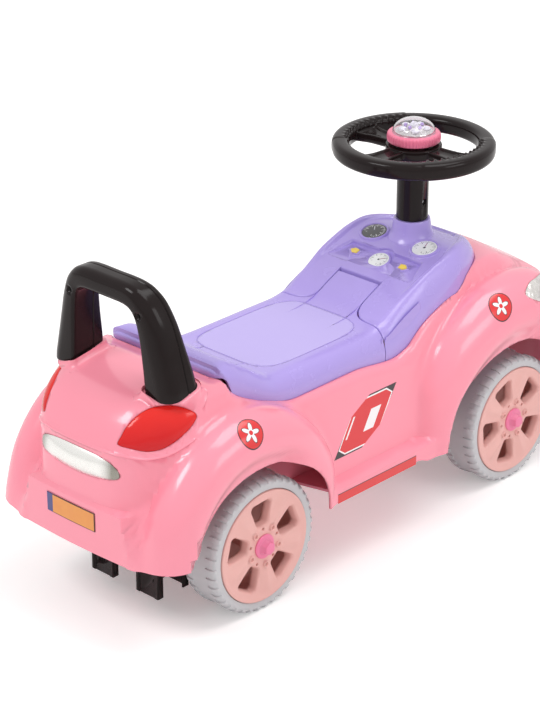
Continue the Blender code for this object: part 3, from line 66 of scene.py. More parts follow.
class Socket:
    """A shader socket. Sums, products, powers and comparisons of it add Math nodes."""

    def __init__(self, tree, socket):
        self.tree = tree
        self.socket = socket

    def node(self, kind, settings=(), output=0, **inputs):
        """Add any other node: its settings first, then its sockets' values or links."""
        made = self.tree.nodes.new("ShaderNode" + kind)
        for key, value in dict(settings).items():
            setattr(made, key, value)
        for key, value in inputs.items():
            place = made.inputs[int(key[1:])] if key[0] == "i" and key[1:].isdigit() else \
                made.inputs[key.replace("_", " ")]
            if isinstance(value, Socket):
                self.tree.links.new(value.socket, place)
            else:
                place.default_value = value
        return Socket(self.tree, made.outputs[output])

    def math(self, operation, first, second=0.0):
        return self.node("Math", {"operation": operation}, i0=first, i1=second)

    def most(self, other):
        return self.math("MAXIMUM", self, other)

    def least(self, other):
        return self.math("MINIMUM", self, other)

    def noise(self, scale, detail=2.0):
        """A noise pattern over this place."""
        return self.node("TexNoise", Vector=self, Scale=scale, Detail=detail)

    def part(self, index):
        """One coordinate of this place."""
        return self.node("SeparateXYZ", output=index, Vector=self)

    def mix(self, share, first, second):
        """One colour or another, by a share from 0 to 1."""
        return self.node("Mix", {"data_type": "RGBA"}, output=2, i0=share,
                         i6=first if isinstance(first, Socket) else (*first, 1.0),
                         i7=second if isinstance(second, Socket) else (*second, 1.0))

    def __add__(self, other):
        return self.math("ADD", self, other)

    def __sub__(self, other):
        return self.math("SUBTRACT", self, other)

    def __mul__(self, other):
        return self.math("MULTIPLY", self, other)

    def __pow__(self, other):
        return self.math("POWER", self, other)

    def __abs__(self):
        return self.math("ABSOLUTE", self)

    def __gt__(self, other):
        return self.math("GREATER_THAN", self, other)

    def __lt__(self, other):
        return self.math("LESS_THAN", self, other)

    __radd__ = __add__
    __rmul__ = __mul__


def finish(name, **constants):
    """A new material: returns it, its shader, and the place on the piece that patterns read."""
    made = bpy.data.materials.new(name)
    made.use_nodes = True
    shader = made.node_tree.nodes["Principled BSDF"]
    for key, value in constants.items():
        shader.inputs[key.replace("_", " ")].default_value = value
    start = Socket(made.node_tree, None)
    place = start.node("TexCoord", output=3)
    return made, shader, place


def feed(shader, name, value):
    """Link a pattern to one of the shader's inputs."""
    value.tree.links.new(value.socket, shader.inputs[name])


def skin(shader, pattern, low, spread, strength, distance):
    """Roughness and fine relief from one pattern."""
    feed(shader, "Roughness", low + pattern * spread)
    feed(shader, "Normal", pattern.node("Bump", Height=pattern, Strength=strength, Distance=distance))


def moulded(name, colour, second, roughness, coat=0.0, gloss=0.5, grain=0.00004):
    """Moulded plastic: faint flow marks in the colour, and a satin-gloss skin with orange peel."""
    made, shader, place = finish(name, Specular_IOR_Level=gloss, Coat_Weight=coat, Coat_Roughness=0.08)
    flow = place.node("TexNoise", Vector=place, Scale=9.0, Detail=3.0, Roughness=0.55)
    feed(shader, "Base Color", place.mix(flow, colour, second))
    smudge = place.node("TexNoise", Vector=place, Scale=38.0, Detail=4.0, Roughness=0.6)
    feed(shader, "Roughness", roughness + (smudge - 0.5) * 0.12)
    feed(shader, "Normal", place.node("Bump", Height=place.noise(260.0), Strength=0.35, Distance=grain))
    return made


# The floor is a seamless white studio sheet that takes the car's soft shadow. A glow that only
# the camera sees keeps it white far away. The lamps are soft boxes above and to the side.
floor_mesh = bmesh.new()
bmesh.ops.create_circle(floor_mesh, cap_ends=True, radius=9.0, segments=96)
floor_data = bpy.data.meshes.new("studio_floor")
floor_mesh.to_mesh(floor_data)
floor_mesh.free()
studio_floor = bpy.data.objects.new("studio_floor", floor_data)
bpy.context.scene.collection.objects.link(studio_floor)
paper, paper_shader, paper_place = finish("studio_paper", Roughness=0.9, Specular_IOR_Level=0.0)
feed(paper_shader, "Base Color",
     paper_place.mix(paper_place.noise(2.0, 1.0), (0.965, 0.955, 0.95), (0.985, 0.975, 0.97)))
paper_shader.inputs["Emission Strength"].default_value = 1.0
glow_near = 0.24
glow_far = 0.75
glow_start = 0.9
glow_rise = 0.3
paper_far = paper_place.node("VectorMath", {"operation": "LENGTH"}, output=1, i0=paper_place)
paper_glow = (((paper_far - glow_start) * glow_rise).most(0.0) + glow_near).least(glow_far)
feed(paper_shader, "Emission Color", paper_glow * paper_place.node("LightPath", output=0))
floor_data.materials.append(paper)

world = bpy.data.worlds.new("studio_world")
bpy.context.scene.world = world
world.use_nodes = True
world_tree = world.node_tree
background = world_tree.nodes["Background"]
background.inputs["Color"].default_value = (1.0, 0.985, 0.98, 1.0)
rays = world_tree.nodes.new("ShaderNodeLightPath")
seen = Socket(world_tree, rays.outputs["Is Camera Ray"])
glossy = Socket(world_tree, rays.outputs["Is Glossy Ray"])
through = Socket(world_tree, rays.outputs["Is Transmission Ray"])
white = (seen + glossy * 0.8 + through).least(1.0)
sky = 0.62
world_tree.links.new((sky + white * (1 - sky)).socket, background.inputs["Strength"])


def soft_box(name, place, aim, size, watts):
    """A rectangular studio lamp."""
    lamp = bpy.data.lights.new(name, "AREA")
    lamp.shape = "RECTANGLE"
    lamp.size = size[0]
    lamp.size_y = size[1]
    lamp.energy = watts
    made = bpy.data.objects.new(name, lamp)
    made.location = place
    made.rotation_euler = (Vector(place) - Vector(aim)).to_track_quat("Z", "Y").to_euler()
    bpy.context.scene.collection.objects.link(made)


soft_box("key_box", (-0.6, -1.9, 2.3), (0, 0, 0.15), (1.1, 0.9), 26.0)
soft_box("top_box", (0.7, 0.5, 2.4), (0, 0, 0.1), (1.6, 1.2), 22.0)
soft_box("side_box", (2.4, 0.6, 1.2), (0, 0, 0.15), (1.2, 0.8), 9.0)


# The body is one glossy pink plastic shell with a 3 mm wall, blow moulded with its fenders,
# hood, tail shelf and sills, then cut out for the wheels, the seat and the dashboard.
pink = moulded("body_pink", (0.93, 0.285, 0.375), (0.96, 0.315, 0.405), 0.22, 0.35)
rear_axle = -0.180
front_axle = 0.230
axle_height = 0.075
tail = -0.337
nose = 0.352
rim_half_width = 0.0845
rim_rear = -0.2125
rim_front = 0.2395
rim_corner = 0.018
rim_taper = 0.140
wall = 0.003


def curve(value, *knots):
    """A smooth curve through (place, height) knots, level beyond its ends and never overshooting."""
    places = np.array([knot[0] for knot in knots], float)
    heights = np.array([knot[1] for knot in knots], float)
    chords = np.diff(heights) / np.diff(places)
    slopes = np.zeros(len(places))
    before = chords[:-1]
    after = chords[1:]
    rising = before * after > 0
    slopes[1:-1] = np.where(rising, 2 * before * after / np.where(rising, before + after, 1.0), 0.0)
    value = np.clip(value, places[0], places[-1])
    index = np.clip(np.searchsorted(places, value) - 1, 0, len(places) - 2)
    width = places[index + 1] - places[index]
    t = (value - places[index]) / width
    return ((2 * t ** 3 - 3 * t ** 2 + 1) * heights[index] + (t ** 3 - 2 * t ** 2 + t) * width * slopes[index]
            + (3 * t ** 2 - 2 * t ** 3) * heights[index + 1] + (t ** 3 - t ** 2) * width * slopes[index + 1])


def step(value, low, high):
    """A smooth step from 0 to 1."""
    t = np.clip((value - low) / (high - low), 0.0, 1.0)
    return t * t * (3 - 2 * t)


def smooth_max(a, b, radius):
    """The larger of two values, blended where they are close."""
    close = np.maximum(radius - np.abs(a - b), 0.0) / radius
    return np.maximum(a, b) + close * close * radius / 4


def smooth_min(a, b, radius):
    """The smaller of two values, blended where they are close."""
    return -smooth_max(-a, -b, radius)


def crease_y(x):
    """Where the tail's crease line lies, in plan."""
    return tail + curve(x, (0.0, 0.0), (0.03, 0.0012), (0.05, 0.0040), (0.0573, 0.0070), (0.068, 0.0150),
                        (0.0776, 0.0285), (0.09, 0.0480), (0.10, 0.0700), (0.12, 0.1300))


def crease_z(x):
    """Height of the tail's crease line."""
    return curve(x, (0.0, 0.2145), (0.05, 0.212), (0.08, 0.2095), (0.09, 0.211), (0.105, 0.221))


def rim_height(y):
    """Height of the pink rim along the sides of the seat and the dashboard."""
    return curve(y, (-0.25, 0.31), (-0.2125, 0.272), (-0.20, 0.2515), (-0.18, 0.237), (-0.15, 0.2205),
                 (-0.097, 0.2085), (-0.013, 0.209), (0.05, 0.2025), (0.072, 0.2075), (0.10, 0.228),
                 (0.13, 0.243), (0.155, 0.2575), (0.175, 0.272), (0.20, 0.295), (0.23, 0.32))


def top_height(x, y):
    """The body's upper surface: rear deck, rim beside the seat, and hood."""
    ahead = y - crease_y(x)
    rise = np.where(ahead > 0, 0.058 * (1 - np.exp(-np.maximum(ahead, 0) / 0.024)), 2.0 * ahead)
    deck = 0.2145 + rise - 0.007 * step(y, -0.24, rim_rear)
    hood = curve(y, (0.14, 0.281), (0.19, 0.280), (0.215, 0.277), (0.244, 0.2705), (0.2914, 0.2467),
                 (0.325, 0.227), (0.345, 0.210), (0.37, 0.18)) - 1.6 * x ** 2
    return smooth_min(smooth_min(deck, rim_height(y), 0.004), hood, 0.006)


def fender(x, y, z, axle, crest, centre_x, half_x, half_r, flange):
    """A rounded bulge that follows the wheel: its crest radius changes with the angle."""
    along = y - axle
    up = z - axle_height
    angle = np.degrees(np.arctan2(up, along))
    angle = np.where(angle < -90, angle + 360, angle)
    tall = curve(angle, *half_r)
    wide = curve(angle, *half_x)
    middle = curve(angle, *crest) - tall
    across = (x - curve(angle, *centre_x)) / wide
    reach = np.hypot(along, up) - middle
    inward = np.tanh(np.maximum(-reach, 0.0) / curve(angle, *flange))
    outward = np.maximum(reach, 0.0) / tall + 0.88 * inward * step(angle, 50, 80)
    return (np.hypot(across, outward) - 1) * np.minimum(tall, wide)


def round_box(x, y, z, centre, half, radius):
    """Distance to a box with rounded edges."""
    dx = np.abs(x - centre[0]) - half[0] + radius
    dy = np.abs(y - centre[1]) - half[1] + radius
    dz = np.abs(z - centre[2]) - half[2] + radius
    outside = np.sqrt(np.maximum(dx, 0) ** 2 + np.maximum(dy, 0) ** 2 + np.maximum(dz, 0) ** 2)
    return outside + np.minimum(np.maximum(dx, np.maximum(dy, dz)), 0) - radius


def channel(x, y, z):
    """Distance to the run of the hollow between the hood and each front fender."""
    run = np.array([(0.103, 0.070, 0.200), (0.103, 0.10, 0.225), (0.103, 0.14, 0.247), (0.101, 0.18, 0.260),
                    (0.096, 0.215, 0.266), (0.086, 0.248, 0.265), (0.074, 0.272, 0.262)])
    place = np.stack([x, y, z], axis=-1)
    nearest = np.full(x.shape, 1.0)
    for index in range(len(run) - 1):
        span = run[index + 1] - run[index]
        part = np.clip(((place - run[index]) @ span) / (span @ span), 0.0, 1.0)
        gap = np.linalg.norm(place - run[index] - part[..., None] * span, axis=-1)
        radius = 0.0100 + 0.0020 * (index + part) / (len(run) - 1)
        nearest = np.minimum(nearest, gap - radius)
    return nearest


def body_level(points):
    """Level of the pink body's form at places: below zero is inside."""
    x = np.abs(points[..., 0])
    y = points[..., 1]
    z = points[..., 2]
    half = (0.105 - 0.13 * (z - 0.11) + 0.008 * step(-y, 0.17, 0.23)
            - step(z, 0.20, 0.235) * curve(y, (0.11, 0.0), (0.16, 0.004), (0.25, 0.010), (0.34, 0.028)))
    side = x - half
    top = (z - top_height(x, y)) * 0.85
    face = crease_y(x) + 0.003 * step(crease_z(x) - z, 0.0, 0.005) - 0.04 * np.maximum(0.2 - z, 0) - y
    front = y - (nose - 2.2 * x ** 2 - 260 * x ** 4)
    cabin = smooth_max(smooth_max(side, top, 0.010), smooth_max(face * 0.9, front, 0.01), 0.014)
    sill = round_box(x, y, z, (0.10, 0.0, 0.080), (0.0215, 0.12, 0.0275), 0.003)
    sill = np.maximum(sill, (z - 0.104 - 0.5 * (0.12 - x)) * 0.9)
    rear = fender(x, y, z, rear_axle,
                  ((-25, 0.108), (10, 0.112), (38, 0.1268), (56, 0.1372), (86, 0.155), (107, 0.164),
                   (121, 0.1672), (142, 0.1645), (162, 0.158), (180, 0.154), (200, 0.151)),
                  ((0, 0.101), (40, 0.103), (180, 0.104)),
                  ((0, 0.0225), (40, 0.028), (90, 0.030), (150, 0.030), (180, 0.032)),
                  ((0, 0.022), (50, 0.032), (90, 0.036), (180, 0.036)),
                  ((30, 0.006), (60, 0.006), (90, 0.0125), (121, 0.0159), (142, 0.0124), (162, 0.0074),
                   (180, 0.0074)))
    ahead = fender(x, y, z, front_axle,
                   ((-25, 0.124), (0, 0.126), (30, 0.142), (60, 0.164), (80, 0.176), (100, 0.177),
                    (128, 0.177), (147, 0.172), (160, 0.164), (177, 0.155), (200, 0.150)),
                   ((0, 0.092), (60, 0.094), (90, 0.097), (150, 0.097), (180, 0.097)),
                   ((0, 0.042), (60, 0.040), (90, 0.036), (140, 0.032), (180, 0.028)),
                   ((0, 0.034), (60, 0.044), (130, 0.044), (180, 0.028)),
                   ((60, 0.014), (90, 0.0211), (128, 0.0185), (147, 0.0112), (161, 0.0054), (180, 0.0054)))
    shelf = round_box(x, y - 0.4 * x ** 2, z, (0.0, -0.3135, 0.110),
                      (0.0745 - 0.22 * (z - 0.137), 0.0270, 0.0430), 0.0025)
    chin = round_box(x, y + 2.2 * x ** 2, z, (0.0, 0.325, 0.105), (0.085, 0.030, 0.030), 0.006)
    form = smooth_min(cabin, rear, 0.012)
    form = smooth_min(form, ahead, 0.008)
    form = smooth_max(form, -channel(x, y, z), 0.005)
    form = smooth_min(form, sill, 0.003)
    form = smooth_min(form, shelf, 0.005 + 0.018 * step(x, 0.066, 0.080))
    return smooth_min(form, chin, 0.01)


def first_hit(starts, directions, level=0.0, reach=0.22):
    """Where rays that start inside the body leave it, or a layer below its surface."""
    near = np.zeros(len(starts))
    far = np.zeros(len(starts))
    running = np.arange(len(starts))
    while len(running):
        depth = level - body_level(starts[running] + directions[running] * far[running][:, None])
        inside = (depth > 0) & (far[running] < reach)
        running = running[inside]
        near[running] = far[running]
        far[running] += np.maximum(depth[inside] * 0.35, 0.0012)
    for _ in range(12):
        middle = (near + far) / 2
        inside = body_level(starts + directions * middle[:, None]) < level
        near = np.where(inside, middle, near)
        far = np.where(inside, far, middle)
    return starts + directions * ((near + far) / 2)[:, None]


def arc(centre, radius, start, end, steps):
    """Points on an arc, with its angles in degrees."""
    return [(centre[0] + radius * math.cos(math.radians(start + (end - start) * index / steps)),
             centre[1] + radius * math.sin(math.radians(start + (end - start) * index / steps)))
            for index in range(steps + 1)]


def rim_outline(inset, side_steps, round_steps):
    """Right half of the seat and dashboard opening, from the rear centre to the front centre."""
    half = rim_half_width - inset
    rear = rim_rear + inset
    front = rim_front - inset - rim_taper
    points = [(0.0, rear), (half * 0.4, rear)]
    points += arc((half - rim_corner, rear + rim_corner), rim_corner, -90, 0, round_steps // 2)
    for index in range(1, side_steps):
        points.append((half, rear + rim_corner + (rim_taper - rear - rim_corner) * index / side_steps))
    for index in range(round_steps):
        turn = math.pi / 2 * index / round_steps
        points.append((half * math.cos(turn) ** 0.75, rim_taper + front * math.sin(turn)))
    return points + [(0.0, rim_front - inset)]


def mirror_outline(half):
    """Close a right half outline with its mirror image."""
    return half + [(-x, y) for x, y in reversed(half) if abs(x) > 1e-6]


def outward(mesh):
    """Turn the faces of one closed shape outward."""
    bmesh.ops.recalc_face_normals(mesh, faces=mesh.faces[:])
    if mesh.calc_volume(signed=True) < 0:
        bmesh.ops.reverse_faces(mesh, faces=mesh.faces[:])
    return mesh


def prism(outline, low, high, axis="Z"):
    """Extrude an outline along an axis. Along X it is (y, z), along Y it is (z, x)."""
    mesh = bmesh.new()
    face = mesh.faces.new([mesh.verts.new((u, v, low)) for u, v in outline])
    lifted = bmesh.ops.extrude_face_region(mesh, geom=[face])
    top = [item for item in lifted["geom"] if isinstance(item, bmesh.types.BMVert)]
    bmesh.ops.translate(mesh, vec=(0, 0, high - low), verts=top)
    turns = {"X": Matrix(((0, 0, 1), (1, 0, 0), (0, 1, 0))).to_4x4(),
             "Y": Matrix(((0, 1, 0), (0, 0, 1), (1, 0, 0))).to_4x4(), "Z": Matrix.Identity(4)}
    mesh.transform(turns[axis])
    return outward(mesh)


def piece(name, mesh, material=None, body=None, replaced=(), sharp=32.0):
    """Make a named object from a bmesh, smooth but for its sharp edges, hang it on its body and hide the parts it
    replaces.
    """
    data = bpy.data.meshes.new(name)
    mesh.to_mesh(data)
    mesh.free()
    data.shade_smooth()
    data.set_sharp_from_angle(angle=math.radians(sharp))
    made = bpy.data.objects.new(name, data)
    bpy.context.scene.collection.objects.link(made)
    if material:
        data.materials.append(material)
    if body:
        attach(made, body)
    if replaced:
        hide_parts(*replaced)
    return made


def cut(target, mesh, operation="DIFFERENCE"):
    """Apply a Boolean to a piece at once and drop the tool."""
    tool = piece(target.name + "_tool", mesh)
    made = target.modifiers.new("cut", "BOOLEAN")
    made.operation = operation
    made.solver = "MANIFOLD"
    made.object = tool
    graph = bpy.context.evaluated_depsgraph_get()
    data = bpy.data.meshes.new_from_object(target.evaluated_get(graph), depsgraph=graph)
    target.modifiers.clear()
    old = target.data
    target.data = data
    data.name = target.name
    data.materials.clear()
    for material in old.materials:
        data.materials.append(material)
    bpy.data.meshes.remove(old)
    bpy.data.objects.remove(tool, do_unlink=True)


def grid(mesh, rows):
    """Add a grid of faces over rows of places to a bmesh. Returns its corners, row by row."""
    made = bmesh.ops.create_grid(mesh, x_segments=rows.shape[1] - 1, y_segments=rows.shape[0] - 1,
                                 size=1.0)["verts"]
    made.sort(key=lambda vert: (round(vert.co.y, 6), round(vert.co.x, 6)))
    for vert, place in zip(made, rows.reshape(-1, 3)):
        vert.co = place
    return made


def join(*meshes):
    """Put several bmeshes into one."""
    whole = bmesh.new()
    for mesh in meshes:
        data = bpy.data.meshes.new("join")
        mesh.to_mesh(data)
        mesh.free()
        whole.from_mesh(data)
        bpy.data.meshes.remove(data)
    return whole


def perimeter(side_steps, end_steps, corner_steps):
    """Bases and directions, in plan, of the body's grid columns, once round the car."""
    half = 0.078
    rear = -0.240
    front = 0.225
    runs = [((half, rear), (half, front), 0.0, 0.0, side_steps),
            ((half, front), (half, front), 0.0, 90.0, corner_steps),
            ((half, front), (-half, front), 90.0, 90.0, end_steps),
            ((-half, front), (-half, front), 90.0, 180.0, corner_steps),
            ((-half, front), (-half, rear), 180.0, 180.0, side_steps),
            ((-half, rear), (-half, rear), 180.0, 270.0, corner_steps),
            ((-half, rear), (half, rear), 270.0, 270.0, end_steps),
            ((half, rear), (half, rear), 270.0, 360.0, corner_steps)]
    columns = []
    for start, end, turn, turned_to, count in runs:
        for index in range(count):
            share = index / count
            columns.append((start[0] + (end[0] - start[0]) * share, start[1] + (end[1] - start[1]) * share,
                            turn + (turned_to - turn) * share))
    return columns


def hem_height(x, y):
    """Height of the body's bottom edge."""
    along = curve(y, (-0.25, 0.0865), (-0.10, 0.085), (-0.06, 0.089), (0.055, 0.089), (0.075, 0.083),
                  (0.25, 0.083))
    return float(along + (0.0125 + 0.004 * step(abs(x), 0.08, 0.12)) * step(-y, 0.25, 0.29))


def rim_target(x, y, outline):
    """The point of an outline that lies nearest to a place outside it."""
    side = math.copysign(1.0, x)
    place = np.array([abs(x), y])
    starts = outline[:-1]
    spans = outline[1:] - starts
    part = ((place - starts) * spans).sum(axis=1) / (spans ** 2).sum(axis=1)
    nearest = starts + spans * np.clip(part, 0.0, 1.0)[:, None]
    best = nearest[np.argmin(((nearest - place) ** 2).sum(axis=1))]
    return side * best[0], best[1]


def body_rays(columns, slants):
    """Ray starts and directions for the body's grid, column by column from the hem to the rim."""
    middle_z = 0.145
    rim = np.array(rim_outline(0.006, 60, 30))
    starts = []
    directions = []
    for x, y, degrees in columns:
        plan = np.array([math.cos(math.radians(degrees)), math.sin(math.radians(degrees)), 0.0])
        probe = first_hit(np.array([[x, y, 0.11]]), plan[None, :])[0]
        low = hem_height(probe[0], probe[1])
        heights = [low + (height - 0.089) * (0.137 - low) / 0.048
                   for height in (0.089, 0.0905, 0.094, 0.099, 0.1025, 0.1045, 0.1065, 0.1085, 0.111, 0.115,
                                  0.120, 0.1255, 0.131, 0.1365)]
        goal = rim_target(x + 0.05 * plan[0], y + 0.05 * plan[1], rim)
        inside = np.array([goal[0], goal[1], float(top_height(abs(goal[0]), goal[1]))])
        towards = inside - np.array([x, y, middle_z])
        towards /= np.linalg.norm(towards)
        turn = math.acos(max(-1.0, min(1.0, float(plan @ towards))))
        for height in heights:
            starts.append((x, y, height))
            directions.append(plan)
        for share in slants:
            starts.append((x, y, middle_z))
            directions.append((math.sin((1 - share) * turn) * plan + math.sin(share * turn) * towards)
                              / math.sin(turn))
    return np.array(starts), np.array(directions), len(heights) + len(slants)


columns = perimeter(130, 36, 20)
starts, directions, rows = body_rays(columns, [index / 52 for index in range(53)])
shell_mesh = bmesh.new()
for level in (0.0, -wall):
    hits = first_hit(starts, directions, level)
    grid(shell_mesh, np.concatenate([hits, hits[:rows]]).reshape(-1, rows, 3))
bmesh.ops.remove_doubles(shell_mesh, verts=shell_mesh.verts[:], dist=1e-6)
bmesh.ops.bridge_loops(shell_mesh, edges=[edge for edge in shell_mesh.edges if edge.is_boundary
                                          and edge.verts[0].co.z < 0.12])
bmesh.ops.bridge_loops(shell_mesh, edges=[edge for edge in shell_mesh.edges if edge.is_boundary])
body = piece("pink_body", outward(shell_mesh), pink, "chassis", ["body_shell"], 40.0)
cut(body, prism(mirror_outline(rim_outline(0.0, 30, 30)), 0.15, 0.34))
rear_arch = ((0, 0.092), (40, 0.0938), (90, 0.0952), (116, 0.1000), (132, 0.1045), (158, 0.1055),
             (168, 0.122), (180, 0.135), (230, 0.11), (320, 0.094), (360, 0.092))
front_arch = ((0, 0.097), (76, 0.0983), (109, 0.101), (117, 0.1035), (131, 0.109), (147, 0.1185),
              (161, 0.1245), (175, 0.129), (200, 0.129), (260, 0.100), (360, 0.097))
arches = []
for side in (-1, 1):
    low, high = sorted((0.088 * side, 0.20 * side))
    for axle, radii in ((rear_axle, rear_arch), (front_axle, front_arch)):
        outline = [(axle + float(curve(degrees, *radii)) * math.cos(math.radians(degrees)),
                    axle_height + float(curve(degrees, *radii)) * math.sin(math.radians(degrees)))
                   for degrees in (360 * index / 96 for index in range(96))]
        arches.append(prism(outline, low, high, "X"))
cut(body, join(*arches))


# Pink collars on the deck hold the feet of the push handle. They are part of the shell's
# moulding and their tops slope with the handle's feet.
foot_rear = -0.2865
foot_front = -0.243
foot_inner = 0.0515
foot_outer = 0.0885
foot_height = 0.2672


def foot_outline(grow, steps=6):
    """Closed plan outline of the right handle foot."""
    inner = foot_inner - grow
    outer = foot_outer + grow
    rear = foot_rear - grow
    front = foot_front + grow
    ring = (arc((inner + 0.006, rear + 0.006), 0.006, 180, 270, steps)
            + arc((outer - 0.022, rear + 0.022), 0.022, 270, 360, 2 * steps)
            + arc((outer - 0.010, front - 0.010), 0.010, 0, 90, steps)
            + arc((inner + 0.006, front - 0.006), 0.006, 90, 180, steps))
    return np.array(ring + ring[:1])


def foot_level(x, y):
    """Height of the sloping plane that the handle's feet end on."""
    return foot_height + 0.28 * (y - foot_rear) - 0.2 * (np.abs(x) - foot_inner)


def loft(rows):
    """A closed skin over rows of points. Rows or points that meet again are joined."""
    mesh = bmesh.new()
    grid(mesh, np.array(rows, float))
    bmesh.ops.remove_doubles(mesh, verts=mesh.verts[:], dist=1e-6)
    bmesh.ops.holes_fill(mesh, edges=[edge for edge in mesh.edges if edge.is_boundary], sides=0)
    return outward(mesh)


collars = []
for side in (-1, 1):
    inner = foot_outline(0.0032)
    outer = foot_outline(0.0095)
    upright = np.repeat([[0.0, 0.0, 1.0]], len(inner), axis=0)
    root = first_hit(np.column_stack([inner, np.full(len(inner), 0.17)]), upright)
    core = np.repeat([[0.069, -0.265, 0.215]], len(inner), axis=0)
    away = np.column_stack([outer, root[:, 2]]) - core
    skirt = first_hit(core, away / np.linalg.norm(away, axis=1)[:, None])
    high = root + upright * 0.0075
    rows = [core + (skirt - core) * 0.92]
    rows += [skirt * (1 - t) ** 2 + root * 2 * t * (1 - t) + high * t ** 2
             for t in (0, 0.2, 0.4, 0.6, 0.8, 1.0)]
    for grow, sunk in ((0.0032, 0.0014), (0.0028, 0.0004), (0.0018, 0.0)):
        ring = foot_outline(grow)
        rows.append(np.column_stack([ring, foot_level(ring[:, 0], ring[:, 1]) - sunk]))
    collars.append(loft(np.array(rows) * np.array([side, 1, 1])))
cut(body, join(*collars), "UNION")


# The tail lamps are red lenses in shallow pockets either side of the handle's feet. The headlamps
# and the garnish bar are foil-faced mouldings. They and the plate sit in pockets of the same kind.
def smooth_outline(points, between):
    """A rounded closed outline through points."""
    points = np.array(points, float)
    found = []
    for index in range(len(points)):
        a, b, c, d = (points[(index + shift) % len(points)] for shift in (-1, 0, 1, 2))
        for part in range(between):
            t = part / between
            found.append(0.5 * (2 * b + (c - a) * t + (2 * a - 5 * b + 4 * c - d) * t ** 2
                                + (3 * b - a - 3 * c + d) * t ** 3))
    return np.array(found)


def on_body(points, normal):
    """Move points along a direction onto the body's surface."""
    starts = points - normal * 0.035
    return first_hit(starts, np.repeat(normal[None, :], len(starts), axis=0), 0.0, 0.09)


def bead(points, normal, radii, steps=12):
    """A round bead along points of the body's surface, half sunk in it."""
    points = on_body(np.array(points, float), np.array(normal, float) / np.linalg.norm(normal))
    rows = []
    for index, place in enumerate(points):
        along = Vector(points[min(index + 1, len(points) - 1)] - points[max(index - 1, 0)]).normalized()
        across = along.cross(Vector(normal)).normalized()
        up = across.cross(along)
        row = [Vector(place) - up * radii[index] * 0.3
               + (across * math.cos(turn) + up * math.sin(turn)) * radii[index]
               for turn in (math.tau * part / steps for part in range(steps))]
        rows.append(row + row[:1])
    return loft(rows)


def plate_on_body(outline, normal, sunk, proud, bulge=0.0, edge=0.0,
                  shares=(0, 0.25, 0.5, 0.7, 0.85, 0.95, 1.0)):
    """A plate that follows the body under an outline. It is proud of the skin, thicker by the
    bulge in its middle, rounded at its edge, and sunk below the skin at its back."""
    outline = np.array(outline, float)
    normal = np.array(normal, float) / np.linalg.norm(normal)
    centre = outline.mean(axis=0)
    count = len(outline)
    mesh = bmesh.new()
    line = [mesh.verts.new((share, 0, 0)) for share in shares]
    edges = [mesh.edges.new(pair) for pair in zip(line, line[1:])]
    bmesh.ops.spin(mesh, geom=line + edges, cent=(0, 0, 0), axis=(0, 0, 1), angle=math.tau, steps=count,
                   use_merge=True)
    bmesh.ops.remove_doubles(mesh, verts=mesh.verts[:], dist=1e-6)
    flat = []
    lift = []
    for vert in mesh.verts:
        share = vert.co.xy.length
        index = round(math.atan2(vert.co.y, vert.co.x) / math.tau * count) % count
        flat.append(centre + (outline[index] - centre) * share)
        lift.append(proud + bulge * (1 - share ** 2) - edge * max((share - 0.9) / 0.1, 0.0) ** 2)
    flat = np.array(flat)
    flat = flat - normal * ((flat - centre) @ normal)[:, None]
    for vert, place, height in zip(mesh.verts, on_body(flat, normal), lift):
        vert.co = place + normal * height
    below = {tuple(round(part, 7) for part in vert.co): place - normal * sunk
             for vert, place in zip(mesh.verts, on_body(flat, normal))}
    for item in bmesh.ops.extrude_face_region(mesh, geom=mesh.faces[:])["geom"]:
        if isinstance(item, bmesh.types.BMVert):
            item.co = below[tuple(round(part, 7) for part in item.co)]
    return outward(mesh)


def along_sides(corners, counts):
    """Points along the straight sides of a closed outline, a number of them for each side."""
    corners = np.array(corners, float)
    return np.concatenate([corner + (after - corner) * (np.arange(count) / count)[:, None]
                           for corner, after, count in zip(corners, np.roll(corners, -1, axis=0), counts)])


def grown(outline, amount):
    """An outline pushed outward from its middle."""
    spread = outline - outline.mean(axis=0)
    return outline + spread / np.linalg.norm(spread, axis=1, keepdims=True) * amount


def set_in_body(name, node, outline, normal, material, proud=0.0009, bulge=0.0, edge=0.0006):
    """A plate on the body with its own pocket in the shell."""
    sunk = 0.0011
    play = 0.0005
    cut(body, plate_on_body(grown(outline, play), normal, sunk + 0.0004, 0.012))
    piece(name, plate_on_body(outline, normal, sunk, proud, bulge, edge), material, "chassis", [node])


crease_half = [(0.0, -0.3338, 0.2155), (0.0135, -0.3338, 0.2152), (0.0332, -0.3313, 0.2140),
               (0.0440, -0.3281, 0.2130), (0.0540, -0.3241, 0.2104), (0.0696, -0.3122, 0.2071),
               (0.0776, -0.3036, 0.2067), (0.0869, -0.2909, 0.2101), (0.0927, -0.2800, 0.2147),
               (0.0968, -0.2702, 0.2202), (0.0995, -0.2620, 0.2240)]
crease_path = np.array([(-x, y, z) for x, y, z in crease_half[:0:-1]] + crease_half)
crease_steps = 101
crease_knots = np.arange(len(crease_path))
crease_places = np.linspace(0, crease_knots[-1], crease_steps)
crease_line = np.stack([curve(crease_places, *zip(crease_knots, crease_path[:, 0])),
                        np.interp(crease_places, crease_knots, crease_path[:, 1]),
                        np.interp(crease_places, crease_knots, crease_path[:, 2])], axis=1)
for _ in range(3):
    crease_line[1:-1] = (crease_line[:-2] + 2 * crease_line[1:-1] + crease_line[2:]) / 4
crease_radii = 0.0004 + 0.0011 * step(1 - np.abs(np.linspace(-1, 1, crease_steps)), 0.0, 0.12)
cut(body, bead(crease_line, (0, -0.75, 0.66), crease_radii), "UNION")

